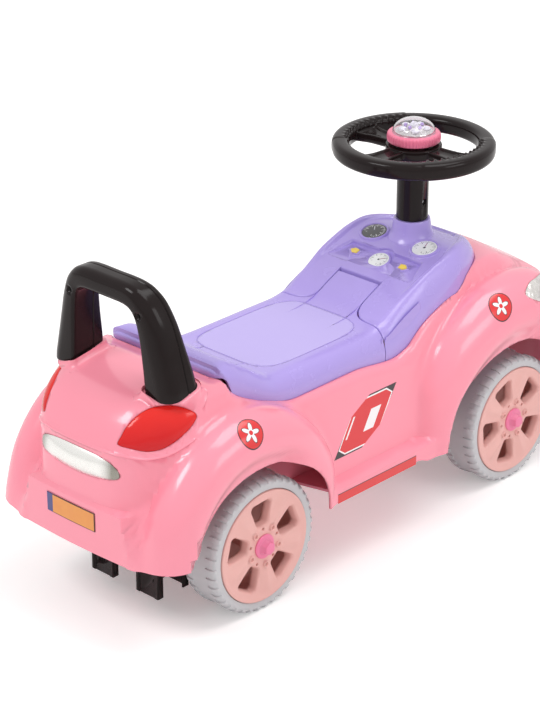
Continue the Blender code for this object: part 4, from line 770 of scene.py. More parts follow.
sides = ((-1, "left"), (1, "right"))
lamp_half = [(0.0515, -0.3225, 0.2218), (0.0523, -0.3187, 0.2298), (0.0543, -0.3120, 0.2398),
             (0.0586, -0.3012, 0.2492), (0.0646, -0.2901, 0.2549), (0.0720, -0.2804, 0.2569),
             (0.0800, -0.2713, 0.2567), (0.0884, -0.2628, 0.2532), (0.0940, -0.2556, 0.2466),
             (0.0951, -0.2601, 0.2393), (0.0936, -0.2704, 0.2315), (0.0898, -0.2817, 0.2242),
             (0.0841, -0.2931, 0.2187), (0.0751, -0.3054, 0.2167), (0.0639, -0.3155, 0.2187)]
lamp_red, lamp_shader, lamp_place = finish("tail_lamp_red", Specular_IOR_Level=0.35)
# The red lens is painted lighter towards its top as a painted highlight and darker red towards its bottom as
# painted shade; a noise adds some random tone.
lamp_highlight_and_tone = (lamp_place.part(2) - 0.222) * 30.0 + (lamp_place.noise(26.0, 1.5) - 0.5) * 0.5
feed(lamp_shader, "Base Color", lamp_place.mix(lamp_highlight_and_tone, (0.62, 0.006, 0.010), (0.80, 0.022, 0.016)))
skin(lamp_shader, lamp_place.noise(700.0), 0.10, 0.08, 0.25, 0.00006)
for side, label in sides:
    turn = np.array([side, 1.0, 1.0])
    outline = smooth_outline(np.array(lamp_half) * turn, 6)
    set_in_body("tail_lamp_lens_" + label, "tail_lamp_" + label, outline, np.array((0.60, -0.50, 0.62)) * turn,
                lamp_red, proud=0.0006, bulge=0.0016, edge=0.0006)

foil, foil_shader, foil_place = finish("lamp_foil", Metallic=0.85, Coat_Weight=0.8, Coat_Roughness=0.05)
foil_cells = foil_place.node("TexVoronoi", {"feature": "F1"}, Vector=foil_place, Scale=190.0)
foil_noise = foil_place.noise(60.0, 3.0)
feed(foil_shader, "Base Color", foil_place.mix(foil_noise, (0.42, 0.40, 0.38), (0.95, 0.93, 0.90)))
feed(foil_shader, "Roughness", 0.16 + foil_noise * 0.2)
feed(foil_shader, "Normal", foil_place.node("Bump", Height=foil_cells, Strength=0.8, Distance=0.0012))
headlamp_half = [(0.1265, 0.2300, 0.236), (0.1190, 0.2430, 0.242), (0.1150, 0.2600, 0.242),
                 (0.1080, 0.2780, 0.240), (0.0990, 0.2960, 0.234), (0.0890, 0.3140, 0.221),
                 (0.0840, 0.3270, 0.204), (0.0930, 0.3320, 0.192), (0.1090, 0.3200, 0.190),
                 (0.1230, 0.2980, 0.198), (0.1310, 0.2700, 0.211), (0.1315, 0.2460, 0.224)]
for side, label in sides:
    turn = np.array([side, 1.0, 1.0])
    outline = smooth_outline(np.array(headlamp_half) * turn, 6)
    set_in_body("headlamp_lens_" + label, "headlamp_" + label, outline, np.array((0.50, 0.45, 0.74)) * turn,
                foil, bulge=0.0020)

silver, silver_shader, silver_place = finish("garnish_silver", Metallic=0.9, Coat_Weight=0.5,
                                             Coat_Roughness=0.05)
silver_brush = silver_place.noise(420.0)
# The silver is painted darker towards both ends of the bar as painted shade in its reflection; the faint brushed
# noise is the foil's own grain.
silver_end_shade = ((abs(silver_place.part(0)) - 0.034) * 60.0).most(0.0)
feed(silver_shader, "Base Color",
     silver_place.mix(silver_end_shade ** 2.0 + silver_brush * 0.08, (0.90, 0.90, 0.87), (0.30, 0.29, 0.25)))
skin(silver_shader, silver_brush, 0.20, 0.14, 0.3, 0.00008)
garnish_half = [(0.0, 0.2092), (0.016, 0.2088), (0.032, 0.2075), (0.047, 0.2040), (0.0545, 0.1985),
                (0.0575, 0.1920), (0.0560, 0.1885), (0.0500, 0.1862), (0.038, 0.1842), (0.018, 0.1822),
                (0.0, 0.1818)]
garnish = [(x, -0.32, z) for x, z in garnish_half] + [(-x, -0.32, z) for x, z in garnish_half[-2:0:-1]]
set_in_body("tail_garnish", "rear_garnish", smooth_outline(garnish, 4), (0, -1, 0), silver,
            proud=0.0008, bulge=0.0050, edge=0.0004)

plate_orange, plate_shader, plate_place = finish("plate_face", Coat_Weight=0.4, Coat_Roughness=0.1)
plate_x = plate_place.part(0)
plate_mottle = plate_place.noise(90.0, 3.0)
plate_edge = (abs(plate_x + 0.003) > 0.0345).most(abs(plate_place.part(2) - 0.1348) > 0.0096)
plate_ink = plate_place.mix(plate_mottle, (0.74, 0.25, 0.04), (0.82, 0.33, 0.06))
plate_ink = plate_place.mix(plate_edge, plate_ink, (0.10, 0.035, 0.01))
feed(plate_shader, "Base Color", plate_place.mix(plate_x < -0.0300, plate_ink, (0.05, 0.05, 0.20)))
feed(plate_shader, "Roughness", 0.3 + plate_mottle * 0.15)
plate_corners = [(-0.0385, -0.32, 0.1245), (0.0325, -0.32, 0.1245), (0.0325, -0.32, 0.1452),
                 (-0.0385, -0.32, 0.1452)]
set_in_body("tail_plate", "number_plate", along_sides(plate_corners, (8, 8, 8, 8)), (0, -1, 0), plate_orange,
            proud=0.0005, edge=0.0)


# Thin red vinyl decals dress the fenders, the side panels and the sills. They are printed film,
# pressed on after moulding, with plain shapes on them.
def local_place(place, centre, turn):
    """Where a place lies across and up a picture that is turned about its centre."""
    local = place.node("Mapping", {"vector_type": "TEXTURE"}, Vector=place, Location=centre, Rotation=turn)
    return local.part(0), local.part(1)


def decal_ink(name, centre, turn, paint):
    """A printed film: paint works out its colour from places across and up the decal."""
    made, shader, place = finish(name, Coat_Weight=0.5, Coat_Roughness=0.08)
    feed(shader, "Base Color", paint(*local_place(place, centre, turn)))
    skin(shader, place.noise(300.0), 0.26, 0.14, 0.2, 0.00004)
    return made


def flower(across, up):
    """A red disc with a dark edge and a white flower."""
    red = (0.72, 0.012, 0.016)
    dark = (0.015, 0.010, 0.012)
    radius = (across * across + up * up) ** 0.5
    angle = up.math("ARCTAN2", up, across)
    bloom = 0.0070 + up.math("COSINE", angle * 5.0) * 0.0034
    ink = up.mix(radius < bloom + 0.0009, red, dark)
    ink = up.mix(radius < bloom, ink, (0.90, 0.88, 0.88))
    ink = up.mix(radius < 0.0024, ink, red)
    return up.mix(radius > 0.0145, ink, dark)


def decal(name, outline, normal, ink):
    """A film on the body, 0.2 mm thick."""
    film = plate_on_body(outline, normal, 0.0003, 0.0002, shares=(0, 0.3, 0.6, 0.8, 0.92, 1.0))
    piece(name, film, ink, "chassis")


def disc_outline(centre, normal, radius, count=40):
    """Points round a disc that faces along a normal."""
    normal = Vector(normal).normalized()
    across = Vector((0, 0, 1)).cross(normal).normalized()
    up = normal.cross(across)
    return np.array([Vector(centre) + across * radius * math.cos(math.tau * index / count)
                     + up * radius * math.sin(math.tau * index / count) for index in range(count)])


for side, label in sides:
    for end, (x, y, z), (lean_x, lean_y, lean_z) in (("rear", (0.1264, -0.2113, 0.2215), (0.62, -0.05, 0.78)),
                                                     ("front", (0.1227, 0.1884, 0.2321), (0.62, 0.0, 0.78))):
        centre = (side * x, y, z)
        normal = Vector((side * lean_x, lean_y, lean_z)).normalized()
        across = Vector((0, 0, 1)).cross(normal).normalized()
        turn = Matrix((across, normal.cross(across), normal)).transposed().to_euler()
        ink = decal_ink(f"disc_ink_{end}_{label}", centre, turn, flower)
        decal(f"fender_disc_{end}_{label}", disc_outline(centre, normal, 0.0155), normal, ink)


def badge(across, up):
    """A red six-sided shield with white and dark borders, and a broad and a thin slanted stripe."""
    slant = across - up * 0.75
    inside = (abs(slant) - 0.033).most(abs(up) - 0.027).most(abs(up * 0.80 + across * 0.60) - 0.044)
    lines = (up.math("SINE", slant * 150.0) > 0.35) * (abs(up) < 0.0105) * (abs(slant) < 0.026)
    ink = up.mix(lines, (0.70, 0.014, 0.02), (0.90, 0.87, 0.88))
    ink = up.mix(inside > -0.0030, ink, (0.92, 0.90, 0.90))
    return up.mix(inside > -0.0014, ink, (0.02, 0.012, 0.016))


def stripe(_, up):
    """A red band with a dark upper edge."""
    return up.mix(up > 0.0042, (0.72, 0.018, 0.02), (0.03, 0.014, 0.02))


for side, label in sides:
    turn = Matrix(((0, side, 0), (0, 0, 1), (side, 0, 0))).transposed().to_euler()
    centre = (side * 0.105, -0.008, 0.153)
    corners = [(side * 0.11, centre[1] + y, centre[2] + z) for y, z in
               ((-0.0532, -0.027), (-0.010, -0.027), (0.022, -0.011), (0.0532, 0.027), (0.010, 0.027),
                (-0.022, 0.011))]
    ink = decal_ink("badge_ink_" + label, centre, turn, badge)
    decal("side_badge_" + label, along_sides(corners, [6] * 6), (side, 0, 0), ink)
    centre = (side * 0.1215, -0.012, 0.0925)
    corners = [(side * 0.12, y, z) for y, z in
               ((-0.075, 0.0865), (0.051, 0.0865), (0.051, 0.0975), (-0.075, 0.0975))]
    ink = decal_ink("stripe_ink_" + label, centre, turn, stripe)
    decal("sill_stripe_" + label, along_sides(corners, (24, 4, 24, 4)), (side, 0, 0), ink)


# The push handle is two glossy black half shells of moulded plastic, screwed together from
# behind. A groove runs along their joint, and the legs widen towards their feet.
black = moulded("black_gloss", (0.008, 0.005, 0.005), (0.016, 0.010, 0.010), 0.15, 0.0, gloss=0.18)
handle_path = [((0.0515, 0.2672), (0.0885, 0.2672)), ((0.0503, 0.285), (0.0843, 0.285)),
               ((0.0490, 0.302), (0.0800, 0.302)), ((0.0476, 0.318), (0.0760, 0.318)),
               ((0.0456, 0.332), (0.0716, 0.334)), ((0.0425, 0.344), (0.0662, 0.3480)),
               ((0.0385, 0.3510), (0.0600, 0.3600)), ((0.0335, 0.3545), (0.0520, 0.3690)),
               ((0.0275, 0.3560), (0.0430, 0.3752)), ((0.0200, 0.3565), (0.0310, 0.3782)),
               ((0.0100, 0.3565), (0.0150, 0.3790)), ((0.0, 0.3565), (0.0, 0.3790))]


def rod(radius, low, high, centre, axis, steps):
    """A cylinder along an axis, for cutting holes."""
    first, second = {"X": (1, 2), "Y": (2, 0), "Z": (0, 1)}[axis]
    return prism(arc((centre[first], centre[second]), radius, 0, 360, steps)[:-1], low, high, axis)


def handle_half(front):
    """One half shell of the handle, from its outer face to the joint."""
    rows = []
    last = len(handle_path) - 1
    for place in np.linspace(-last, last, 89):
        side = math.copysign(1.0, place)
        index = last - abs(place)
        inner_x, inner_z, outer_x, outer_z = (
            float(curve(index, *[(count, pair[end][axis]) for count, pair in enumerate(handle_path)]))
            for end in (0, 1) for axis in (0, 1))
        thick = math.hypot(outer_x - inner_x, outer_z - inner_z)
        taper = float(step(index, 3.0, 9.0))
        seam = float(curve(index, (0, -0.2590), (3, -0.2605), (6, -0.2655), (9, -0.2725), (11, -0.2735)))
        rear = float(curve(index, (0, -0.2865), (3, -0.2880), (6, -0.2905), (9, -0.2920), (11, -0.2922)))
        ahead = float(curve(index, (0, -0.2430), (3, -0.2490), (6, -0.2560), (9, -0.2622), (11, -0.2630)))
        deep = (ahead - seam if front else seam - rear) - 0.0001
        outer_round = 0.0085 - 0.0015 * taper if front else 0.0175 - 0.008 * taper
        inner_round = 0.0045 + 0.002 * taper
        chamfer = 0.0009
        outline = [(chamfer, deep), (0.0, deep - chamfer)]
        outline += [(inner_round - dx, inner_round - dy) for dx, dy in
                    ((inner_round * math.cos(turn), inner_round * math.sin(turn))
                     for turn in (math.pi / 2 * part / 6 for part in range(7)))]
        outline += [(thick - outer_round + outer_round * math.sin(turn),
                     outer_round - outer_round * math.cos(turn))
                    for turn in (math.pi / 2 * part / 10 for part in range(11))]
        outline += [(thick, deep - chamfer), (thick - chamfer, deep), (chamfer, deep)]
        row = []
        for across, inward in outline:
            x = side * (inner_x + (outer_x - inner_x) * across / thick)
            z = inner_z + (outer_z - inner_z) * across / thick
            y = ahead - inward if front else rear + inward
            if index < 0.01:
                z = foot_level(x, y) + 0.0006
            row.append((x, y, z))
        rows.append(row)
    return loft(rows)


handle_rear = piece("push_handle_rear", handle_half(False), black, "chassis", ["handle_rear_half"],
                    30.0)
piece("push_handle_front", handle_half(True), black, "chassis", ["handle_front_half"], 30.0)
for radius, depth in ((0.0031, -0.2720), (0.0045, -0.2893)):
    cut(handle_rear, join(*[rod(radius, -0.30, depth, (side * 0.050, 0, 0.3495), "Y", 28)
                            for side in (-1, 1)]))


# The seat is a moulded purple lid on a hinge pin. Its edges are rounded, it turns down in a
# skirt all round, and a grained panel framed by a fine groove lies in its middle.
purple = moulded("seat_purple", (0.400, 0.310, 0.735), (0.430, 0.335, 0.765), 0.26, 0.25)
pad_purple, pad_shader, pad_place = finish("seat_pad_purple", Coat_Weight=0.15, Coat_Roughness=0.15)
feed(pad_shader, "Base Color",
     pad_place.mix(pad_place.noise(9.0, 3.0), (0.475, 0.395, 0.775), (0.505, 0.425, 0.80)))
feed(pad_shader, "Roughness", 0.36 + pad_place.noise(38.0, 4.0) * 0.10)
feed(pad_shader, "Normal",
     pad_place.node("Bump", Height=pad_place.noise(1400.0), Strength=0.5, Distance=0.00008))
hinge_y = -0.2075
hinge_z = 0.2665
lid_front = 0.0400
tongue_half = 0.0299
tongue_front = 0.0895
cover_wall = 0.0026
cover_gap = 0.0006


def crest(y):
    """Height of the middle of the seat and the dashboard."""
    return curve(y, (-0.2125, 0.2765), (-0.196, 0.2765), (-0.165, 0.2600), (-0.126, 0.2380), (-0.09, 0.2365),
                 (0.02, 0.2370), (0.045, 0.2405), (0.065, 0.2505), (0.0895, 0.2618), (0.157, 0.2853),
                 (0.178, 0.2890), (0.205, 0.2860), (0.2395, 0.274))


def edge_distance(x, y, outline):
    """Distance in plan from places to an outline."""
    starts = outline[:-1]
    spans = outline[1:] - starts
    nearest = np.full(x.shape, 1.0)
    for start, span in zip(starts, spans):
        part = np.clip(((x - start[0]) * span[0] + (y - start[1]) * span[1]) / (span @ span), 0.0, 1.0)
        nearest = np.minimum(nearest, np.hypot(x - start[0] - part * span[0], y - start[1] - part * span[1]))
    return nearest


def cover_bottom(y):
    """Lower edge of the covers' skirts."""
    return top_height(np.full(np.shape(y), rim_half_width), y) - 0.003 - 0.013 * step(y, 0.11, 0.16)


def spread(start, end, count, pull=0.0):
    """Places along a line, gathered towards both ends."""
    t = np.linspace(0.0, 1.0, count)
    return start + (end - start) * (t - pull * np.sin(math.tau * t) / math.tau)


def sheet(mesh, columns, rear, front, height, count, skirt, rounding):
    """Add one skin of a cover: a grid over its plan, and a skirt turned down all round."""
    rows = []
    for x in columns:
        along = spread(rear(abs(x)), front(abs(x)), count, 0.93)
        rows.append(np.stack([np.full(count, x), along, np.zeros(count)], axis=1))
    rows = np.array(rows)
    x, y = rows[..., 0], rows[..., 1]
    outline = np.concatenate([rows[:, 0, :2], rows[-1, 1:, :2], rows[::-1, -1, :2][1:],
                              rows[0, ::-1, :2][1:]])
    soften = np.clip(1 - edge_distance(x, y, outline) / rounding, 0.0, 1.0)
    rows[..., 2] = height(x, y) - rounding * (1 - np.sqrt(1 - soften ** 2 * 0.98))
    rim = list({edge for vert in grid(mesh, rows) for edge in vert.link_edges if edge.is_boundary})
    lowered = bmesh.ops.extrude_edge_only(mesh, edges=rim)["geom"]
    for vert in lowered:
        if isinstance(vert, bmesh.types.BMVert):
            vert.co.z = skirt(vert.co)


def cover(columns, rear, front, height, under, count, skirt):
    """A hollow cover over a plan: columns across, each with rows from its rear to its front edge."""
    sweep = [(shift, math.sqrt(max(cover_wall ** 2 - shift ** 2, 0.0)))
             for shift in np.linspace(-cover_wall, cover_wall, 9)]

    def inner_rear(x):
        return max(rear(min(abs(x + shift), columns[-1])) + reach for shift, reach in sweep)

    def inner_front(x):
        return min(front(min(abs(x + shift), columns[-1])) - reach for shift, reach in sweep)

    mesh = bmesh.new()
    sheet(mesh, columns, rear, front, height, count, skirt, 0.0016)
    inside = np.array(columns) * (1 - cover_wall / columns[-1])
    sheet(mesh, inside, inner_rear, inner_front, under, count, skirt, 0.0004)
    bmesh.ops.bridge_loops(mesh, edges=[edge for edge in mesh.edges if edge.is_boundary])
    return outward(mesh)


def lid_edge(x):
    """Front edge of the lid: the tongue, then a sweep out to the side."""
    if x < tongue_half:
        return tongue_front - 0.0012 * max((x - tongue_half + 0.002) / 0.002, 0.0) ** 2
    return float(curve(x, (tongue_half, 0.0610), (0.0304, 0.0570), (0.0318, 0.0525), (0.0345, 0.0490),
                       (0.0395, 0.0450), (0.047, 0.0418), (0.055, 0.0404), (0.0625, lid_front)))


def corner_line(x, gap):
    """Rear edge of the opening with its rounded corners, or a line that lies a gap inside it."""
    beyond = np.maximum(x - rim_half_width + gap + rim_corner, 0.0)
    return rim_rear + gap + rim_corner - np.sqrt(np.maximum(rim_corner ** 2 - beyond ** 2, 0.0))


def lid_rear(x):
    """Rear edge of the lid."""
    return float(corner_line(x, cover_gap))


def lid_height(x, y):
    """Upper surface of the lid, rounded down to the pink rim at the sides and the rear."""
    half = rim_half_width
    x = np.abs(x)
    pad = curve(y, (-0.2, 0.064), (0.04, 0.064), (0.10, 0.058)) / half
    side = np.clip((x / half - pad) / (1 - pad), 0.0, 1.0)
    rear = np.clip((-0.2005 - y) / 0.012, 0.0, 1.0)
    drop = np.minimum((side ** 4 + rear ** 4) ** 0.25, 1.0)
    rounding = 1 - np.maximum(1 - drop ** 2.2, 0.0) ** (1 / 2.2)
    top = crest(y)
    low = np.minimum(top_height(np.minimum(x, half), y), top)
    height = top - (top - low) * rounding
    behind = np.minimum(y - hinge_y, 0.0)
    room = np.clip(hinge_y - (corner_line(x, cover_gap) - cover_gap) - 0.0001, 0.0, 0.0049)
    swing = hinge_z + np.sqrt(np.maximum(room ** 2 - behind ** 2, 0.0)) + 4 * np.maximum(y - hinge_y, 0.0)
    return np.minimum(height, swing)


def mirror_columns(*parts):
    """Places across a cover, left to right, close together where it bends."""
    half = np.concatenate([*parts, [0.0832, 0.0836, 0.08385, 0.0839]])
    return np.concatenate([-half[:0:-1], half])


lid_columns = mirror_columns(np.linspace(0.0, 0.026, 7), [0.0279, 0.0291, 0.0297, 0.02988, 0.02992, 0.0300],
                             [0.0304, 0.0311, 0.0323, 0.0345, 0.037, 0.040, 0.0435, 0.047, 0.0505, 0.054],
                             [0.0575], np.linspace(0.060, 0.0825, 12))


def lid_skirt(place):
    """How low the lid's skirt reaches."""
    seam = place.y > lid_front - 0.004 and abs(place.x) < 0.0825
    low = float(cover_bottom(place.y))
    low += max(hinge_z - 0.0022 - low, 0.0) * float(step(-place.y, 0.1925, 0.2045))
    return float(crest(place.y)) - 0.011 if seam else low


lid_mesh = cover(lid_columns, lid_rear, lid_edge, lid_height,
                 lambda x, y: lid_height(x, y) - cover_wall * 1.2, 110, lid_skirt)
lid = piece("seat_cover", lid_mesh, purple, "seat", ["seat_lid"], 28.0)


pad_half_width = 0.0585
pad_half_length = 0.079
pad_middle = -0.043
pad_power = 0.42
pad_groove = 0.0004


def squared(value, power):
    """A cosine or sine bent so that a circle drawn with it gets squarer."""
    return math.copysign(abs(value) ** power, value)


def pad_outline(grow, steps=160):
    """Outline of the panel in the seat's middle, in plan."""
    return np.array([((pad_half_width + grow) * squared(math.cos(turn), pad_power),
                      pad_middle + (pad_half_length + grow) * squared(math.sin(turn), pad_power))
                     for turn in (math.tau * index / steps for index in range(steps))])


def groove(inner, outer, depth, height):
    """A closed band between two outlines, sunk below a surface, for cutting a groove."""
    rows = []
    for near, far in zip(np.concatenate([inner, inner[:1]]), np.concatenate([outer, outer[:1]])):
        low_near = float(height(near[0], near[1])) - depth
        low_far = float(height(far[0], far[1])) - depth
        rows.append([(*near, low_near), (*far, low_far), (*far, low_far + 0.008), (*near, low_near + 0.008),
                     (*near, low_near)])
    return loft(rows)


cut(lid, groove(pad_outline(-pad_groove), pad_outline(pad_groove), 0.0005, lid_height))
lid.data.materials.append(pad_purple)
for face in lid.data.polygons:
    across = abs(face.center.x) / (pad_half_width - pad_groove)
    along = abs(face.center.y - pad_middle) / (pad_half_length - pad_groove)
    if face.normal.z > 0.7 and across ** (2 / pad_power) + along ** (2 / pad_power) < 1:
        face.material_index = 1


# The dashboard is one purple moulding: a raised rim round it, a sloping panel with two dials,
# a stepped tray with a third dial and two arrows, and a cone that the steering column turns in.
def dash_edge(x):
    """Rear edge of the dashboard, a finger's gap ahead of the seat's tongue."""
    if x < tongue_half + 0.0010:
        return tongue_front + 0.0045
    return lid_edge(max(x - 0.0010, tongue_half)) + 0.0010


def dash_front(x):
    """Front edge of the dashboard."""
    turn = math.acos(min(1.0, (x / (rim_half_width - cover_gap)) ** (1 / 0.75)))
    return rim_taper + (rim_front - cover_gap - rim_taper) * math.sin(turn)


dash_outline = np.array(rim_outline(0.0, 40, 40))
column_y = 0.178
dial_x = 0.0371
dial_y = 0.157
arrow_x = 0.0364
tray_y = 0.1226


def dash_height(x, y):
    """Upper surface of the dashboard with its raised rim and steep flanks."""
    x = np.abs(x)
    gap = edge_distance(x, y, dash_outline)
    flank = curve(y, (0.05, 0.0205), (0.075, 0.0165), (0.11, 0.0125), (0.16, 0.0128), (0.21, 0.0135),
                  (0.235, 0.010))
    power = curve(y, (0.045, 2.2), (0.10, 1.55))
    raised = curve(y, (0.076, 0.0), (0.115, 0.0034))
    top = crest(y) + raised * (1 - step(gap, flank + 0.0035, flank + 0.0075))
    drop = np.clip(1 - gap / flank, 0.0, 1.0)
    rounding = 1 - np.maximum(1 - drop ** power, 0.0) ** (1 / power)
    low = np.minimum(top_height(np.minimum(x, rim_half_width), y), top)
    return top - (top - low) * rounding


def dash_skirt(place):
    """How low the dashboard's skirt reaches."""
    seam = place.y < 0.10 and abs(place.x) < 0.0825
    return float(crest(place.y)) - 0.012 if seam else float(cover_bottom(place.y))


dash_columns = mirror_columns(np.linspace(0.0, 0.028, 10),
                              [0.0298, 0.0306, 0.03085, 0.03089, 0.03094, 0.0311, 0.0316],
                              [0.0325, 0.0345, 0.037, 0.040, 0.043],
                              np.linspace(0.0455, 0.0735, 23), np.linspace(0.0748, 0.0826, 10))
dash_mesh = cover(dash_columns, dash_edge, dash_front, dash_height,
                  lambda x, y: dash_height(x, y) - 0.0032 - 0.0052 * (1 - step(np.abs(x), 0.063, 0.067)),
                  120, dash_skirt)
dash = piece("dashboard", dash_mesh, purple, "chassis", ["dash_console"], 28.0)


def on_dash(x, y, lift=0.0):
    """Turns and moves a piece made at the origin onto the dashboard's slope."""
    rise = math.atan2(float(crest(y + 0.004) - crest(y - 0.004)), 0.008)
    return Matrix.Translation((x, y, float(crest(y)) + lift)) @ Matrix.Rotation(rise, 4, "X")


def moved(mesh, matrix):
    """Turn and move a bmesh and pass it on."""
    mesh.transform(matrix)
    return mesh


def soften(mesh, edges, offset, segments):
    """Round some edges of a bmesh and pass it on."""
    bmesh.ops.bevel(mesh, geom=edges, offset=offset, segments=segments, profile=0.5, affect="EDGES",
                    material=-1)
    return mesh


def turned(profile, steps):
    """A round body from a profile of (radius, height) points."""
    mesh = bmesh.new()
    line = [mesh.verts.new((radius, 0, height)) for radius, height in profile]
    edges = [mesh.edges.new(pair) for pair in zip(line, line[1:])]
    if profile[0] != profile[-1] and profile[0][0] > 1e-6:
        edges.append(mesh.edges.new((line[-1], line[0])))
    bmesh.ops.spin(mesh, geom=line + edges, cent=(0, 0, 0), axis=(0, 0, 1), angle=math.tau, steps=steps,
                   use_merge=True)
    bmesh.ops.remove_doubles(mesh, verts=mesh.verts[:], dist=1e-6)
    return outward(mesh)


round_steps = 72
on_column = Matrix.Translation((0, column_y, 0))
corner = 0.0035
tray_rows = []
for rear_y, rear_half, front_y, front_half, high in ((-0.0192, 0.0610, 0.0140, 0.0520, False),
                                                     (-0.0200, 0.0640, 0.0160, 0.0550, True)):
    outline = (arc((front_half - corner, front_y - corner), corner, 0, 90, 6)
               + arc((-front_half + corner, front_y - corner), corner, 90, 180, 6)
               + arc((-rear_half + corner, rear_y + corner), corner, 180, 270, 6)
               + arc((rear_half - corner, rear_y + corner), corner, 270, 360, 6))
    outline.append(outline[0])
    tray_rows.append([(x, y, 0.012 if high else -0.0006 - 0.0046 * (y + 0.0192) / 0.0332) for x, y in outline])
cut(dash, moved(loft(tray_rows), on_dash(0, tray_y)))
alcove = turned([(0.0, -0.0052), (0.0128, -0.0052), (0.0142, -0.0040), (0.0148, 0.012), (0.0, 0.012)], 48)
cut(dash, moved(alcove, on_dash(0, tray_y) @ Matrix.Translation((0, 0.0050, 0))))
cone = turned([(0.0, 0.270), (0.0285, 0.2700), (0.0278, 0.2850), (0.0262, 0.2872), (0.0246, 0.2895),
               (0.0232, 0.2930), (0.0222, 0.2975), (0.0212, 0.3030), (0.0206, 0.3068), (0.0200, 0.3080),
               (0.0, 0.3080)], round_steps)
additions = [moved(cone, on_column)]
for side in (-1, 1):
    ring = turned([(0.0143, -0.002), (0.0175, -0.002), (0.0175, 0.0006), (0.0170, 0.0018), (0.0160, 0.0024),
                   (0.0152, 0.0022), (0.0147, 0.0013), (0.0143, 0.0013)], round_steps)
    additions.append(moved(ring, on_dash(side * dial_x, dial_y)))
    outline = [(side * x, y) for x, y in ((0.0086, 0.0), (-0.0002, 0.0066), (-0.0002, 0.0036), (-0.0086, 0.0036),
                                          (-0.0086, -0.0036), (-0.0002, -0.0036), (-0.0002, -0.0066))]
    arrow = prism(outline[::side], -0.002, 0.0016)
    soften(arrow, [edge for edge in arrow.edges if all(vert.co.z > 0.001 for vert in edge.verts)], 0.0004, 2)
    additions.append(moved(arrow, on_dash(side * arrow_x, tray_y, -0.0032)))
ring = turned([(0.0120, -0.003), (0.0138, -0.003), (0.0138, 0.0006), (0.0132, 0.0014), (0.0124, 0.0014),
               (0.0120, 0.0008)], round_steps)
additions.append(moved(ring, on_dash(0, tray_y, -0.0034)))
for addition in additions:
    cut(dash, addition, "UNION")
cut(dash, rod(0.0056, 0.20, 0.35, (0, column_y, 0), "Z", 32))


# Printed dial faces sit in the rings: a dark one on the left and two pale ones, each with ticks
# and a needle. The two arrows in the tray carry small yellow inlays.
def dial(name, node, centre, lift, radius, dark, turn):
    """A dial disc with ticks round its edge and a needle."""
    made, shader, place = finish(name + "_ink", Coat_Weight=0.6, Coat_Roughness=0.06)
    placed = on_dash(centre[0], centre[1], lift)
    across, up = local_place(place, placed.to_translation(), placed.to_euler())
    reach = (across * across + up * up) ** 0.5
    angle = up.math("ARCTAN2", up, across)
    fine = (abs(up.math("SINE", angle * 20.0)) < 0.35) * (reach > radius * 0.74)
    coarse = (abs(up.math("SINE", angle * 5.0)) < 0.16) * (reach > radius * 0.58)
    ticks = fine.most(coarse) * (reach < radius * 0.90) * (up + across * 0.4 > -radius * 0.62)
    along = across * math.cos(turn) + up * math.sin(turn)
    beside = across * math.sin(turn) - up * math.cos(turn)
    needle = (abs(beside) < 0.00045) * (along > -0.001) * (along < radius * 0.66)
    face, mark, pointer = (((0.028, 0.028, 0.032), (0.78, 0.78, 0.80), (0.60, 0.60, 0.66)) if dark else
                           ((0.80, 0.81, 0.82), (0.10, 0.10, 0.16), (0.25, 0.03, 0.10)))
    shade = place.noise(120.0)
    ink = place.mix(shade, face, tuple(part * 1.08 + 0.004 for part in face))
    ink = place.mix(ticks, ink, mark)
    ink = place.mix(needle, ink, pointer)
    feed(shader, "Base Color", place.mix(reach < radius * 0.11, ink, (0.03, 0.03, 0.05)))
    feed(shader, "Roughness", 0.14 + shade * 0.12)
    disc = turned([(0.0, -0.0008), (radius, -0.0008), (radius, 0.0010), (radius * 0.97, 0.0013),
                   (radius * 0.5, 0.0016), (0.0, 0.0017)], round_steps)
    piece(name, moved(disc, placed), made, "chassis", [node])


dial("dial_left", "gauge_left", (-dial_x, dial_y), 0.0004, 0.0142, True, 2.2)
dial("dial_right", "gauge_right", (dial_x, dial_y), 0.0004, 0.0142, False, 1.9)
dial("dial_middle", "gauge_middle", (0.0, tray_y), -0.0032, 0.0119, False, 0.7)
yellow = moulded("arrow_yellow", (0.83, 0.60, 0.10), (0.88, 0.66, 0.12), 0.32, 0.2)
for side, label in sides:
    outline = [(side * x, y) for x, y in ((0.0052, 0.0), (0.0006, 0.0040), (-0.0056, 0.0030), (-0.0056, -0.0030),
                                          (0.0006, -0.0040))]
    inlay = moved(prism(outline[::side], -0.0006, 0.0009), on_dash(side * arrow_x, tray_y, -0.0014))
    piece("arrow_inlay_" + label, inlay, yellow, "chassis", ["indicator_" + label])


# The column tube is a black sleeve over the steel rod, pinned by a cross screw. The screw's hole
# is wider on the right side, where its head sits.
column_top = 0.379
screw_z = 0.330
tube_mesh = turned([(0.0053, 0.3083), (0.0172, 0.3083), (0.0179, 0.3090), (0.0179, 0.3715),
                    (0.0184, 0.3740), (0.0196, 0.3765), (0.0209, column_top), (0.0053, column_top),
                    (0.0053, 0.3083)], round_steps)
tube = piece("column_sleeve", moved(tube_mesh, on_column), black, "steering", ["column_tube"],
             25.0)
cut(tube, rod(0.0024, -0.03, 0.03, (0, column_y, screw_z), "X", 28))
cut(tube, rod(0.0037, 0.0150, 0.03, (0, column_y, screw_z), "X", 28))


# The steering wheel is one black moulding: a thick rim with two grips that carry moulded
# stitches, three trough-shaped spokes and a cup for the button in its middle.
wheel_low = 0.382


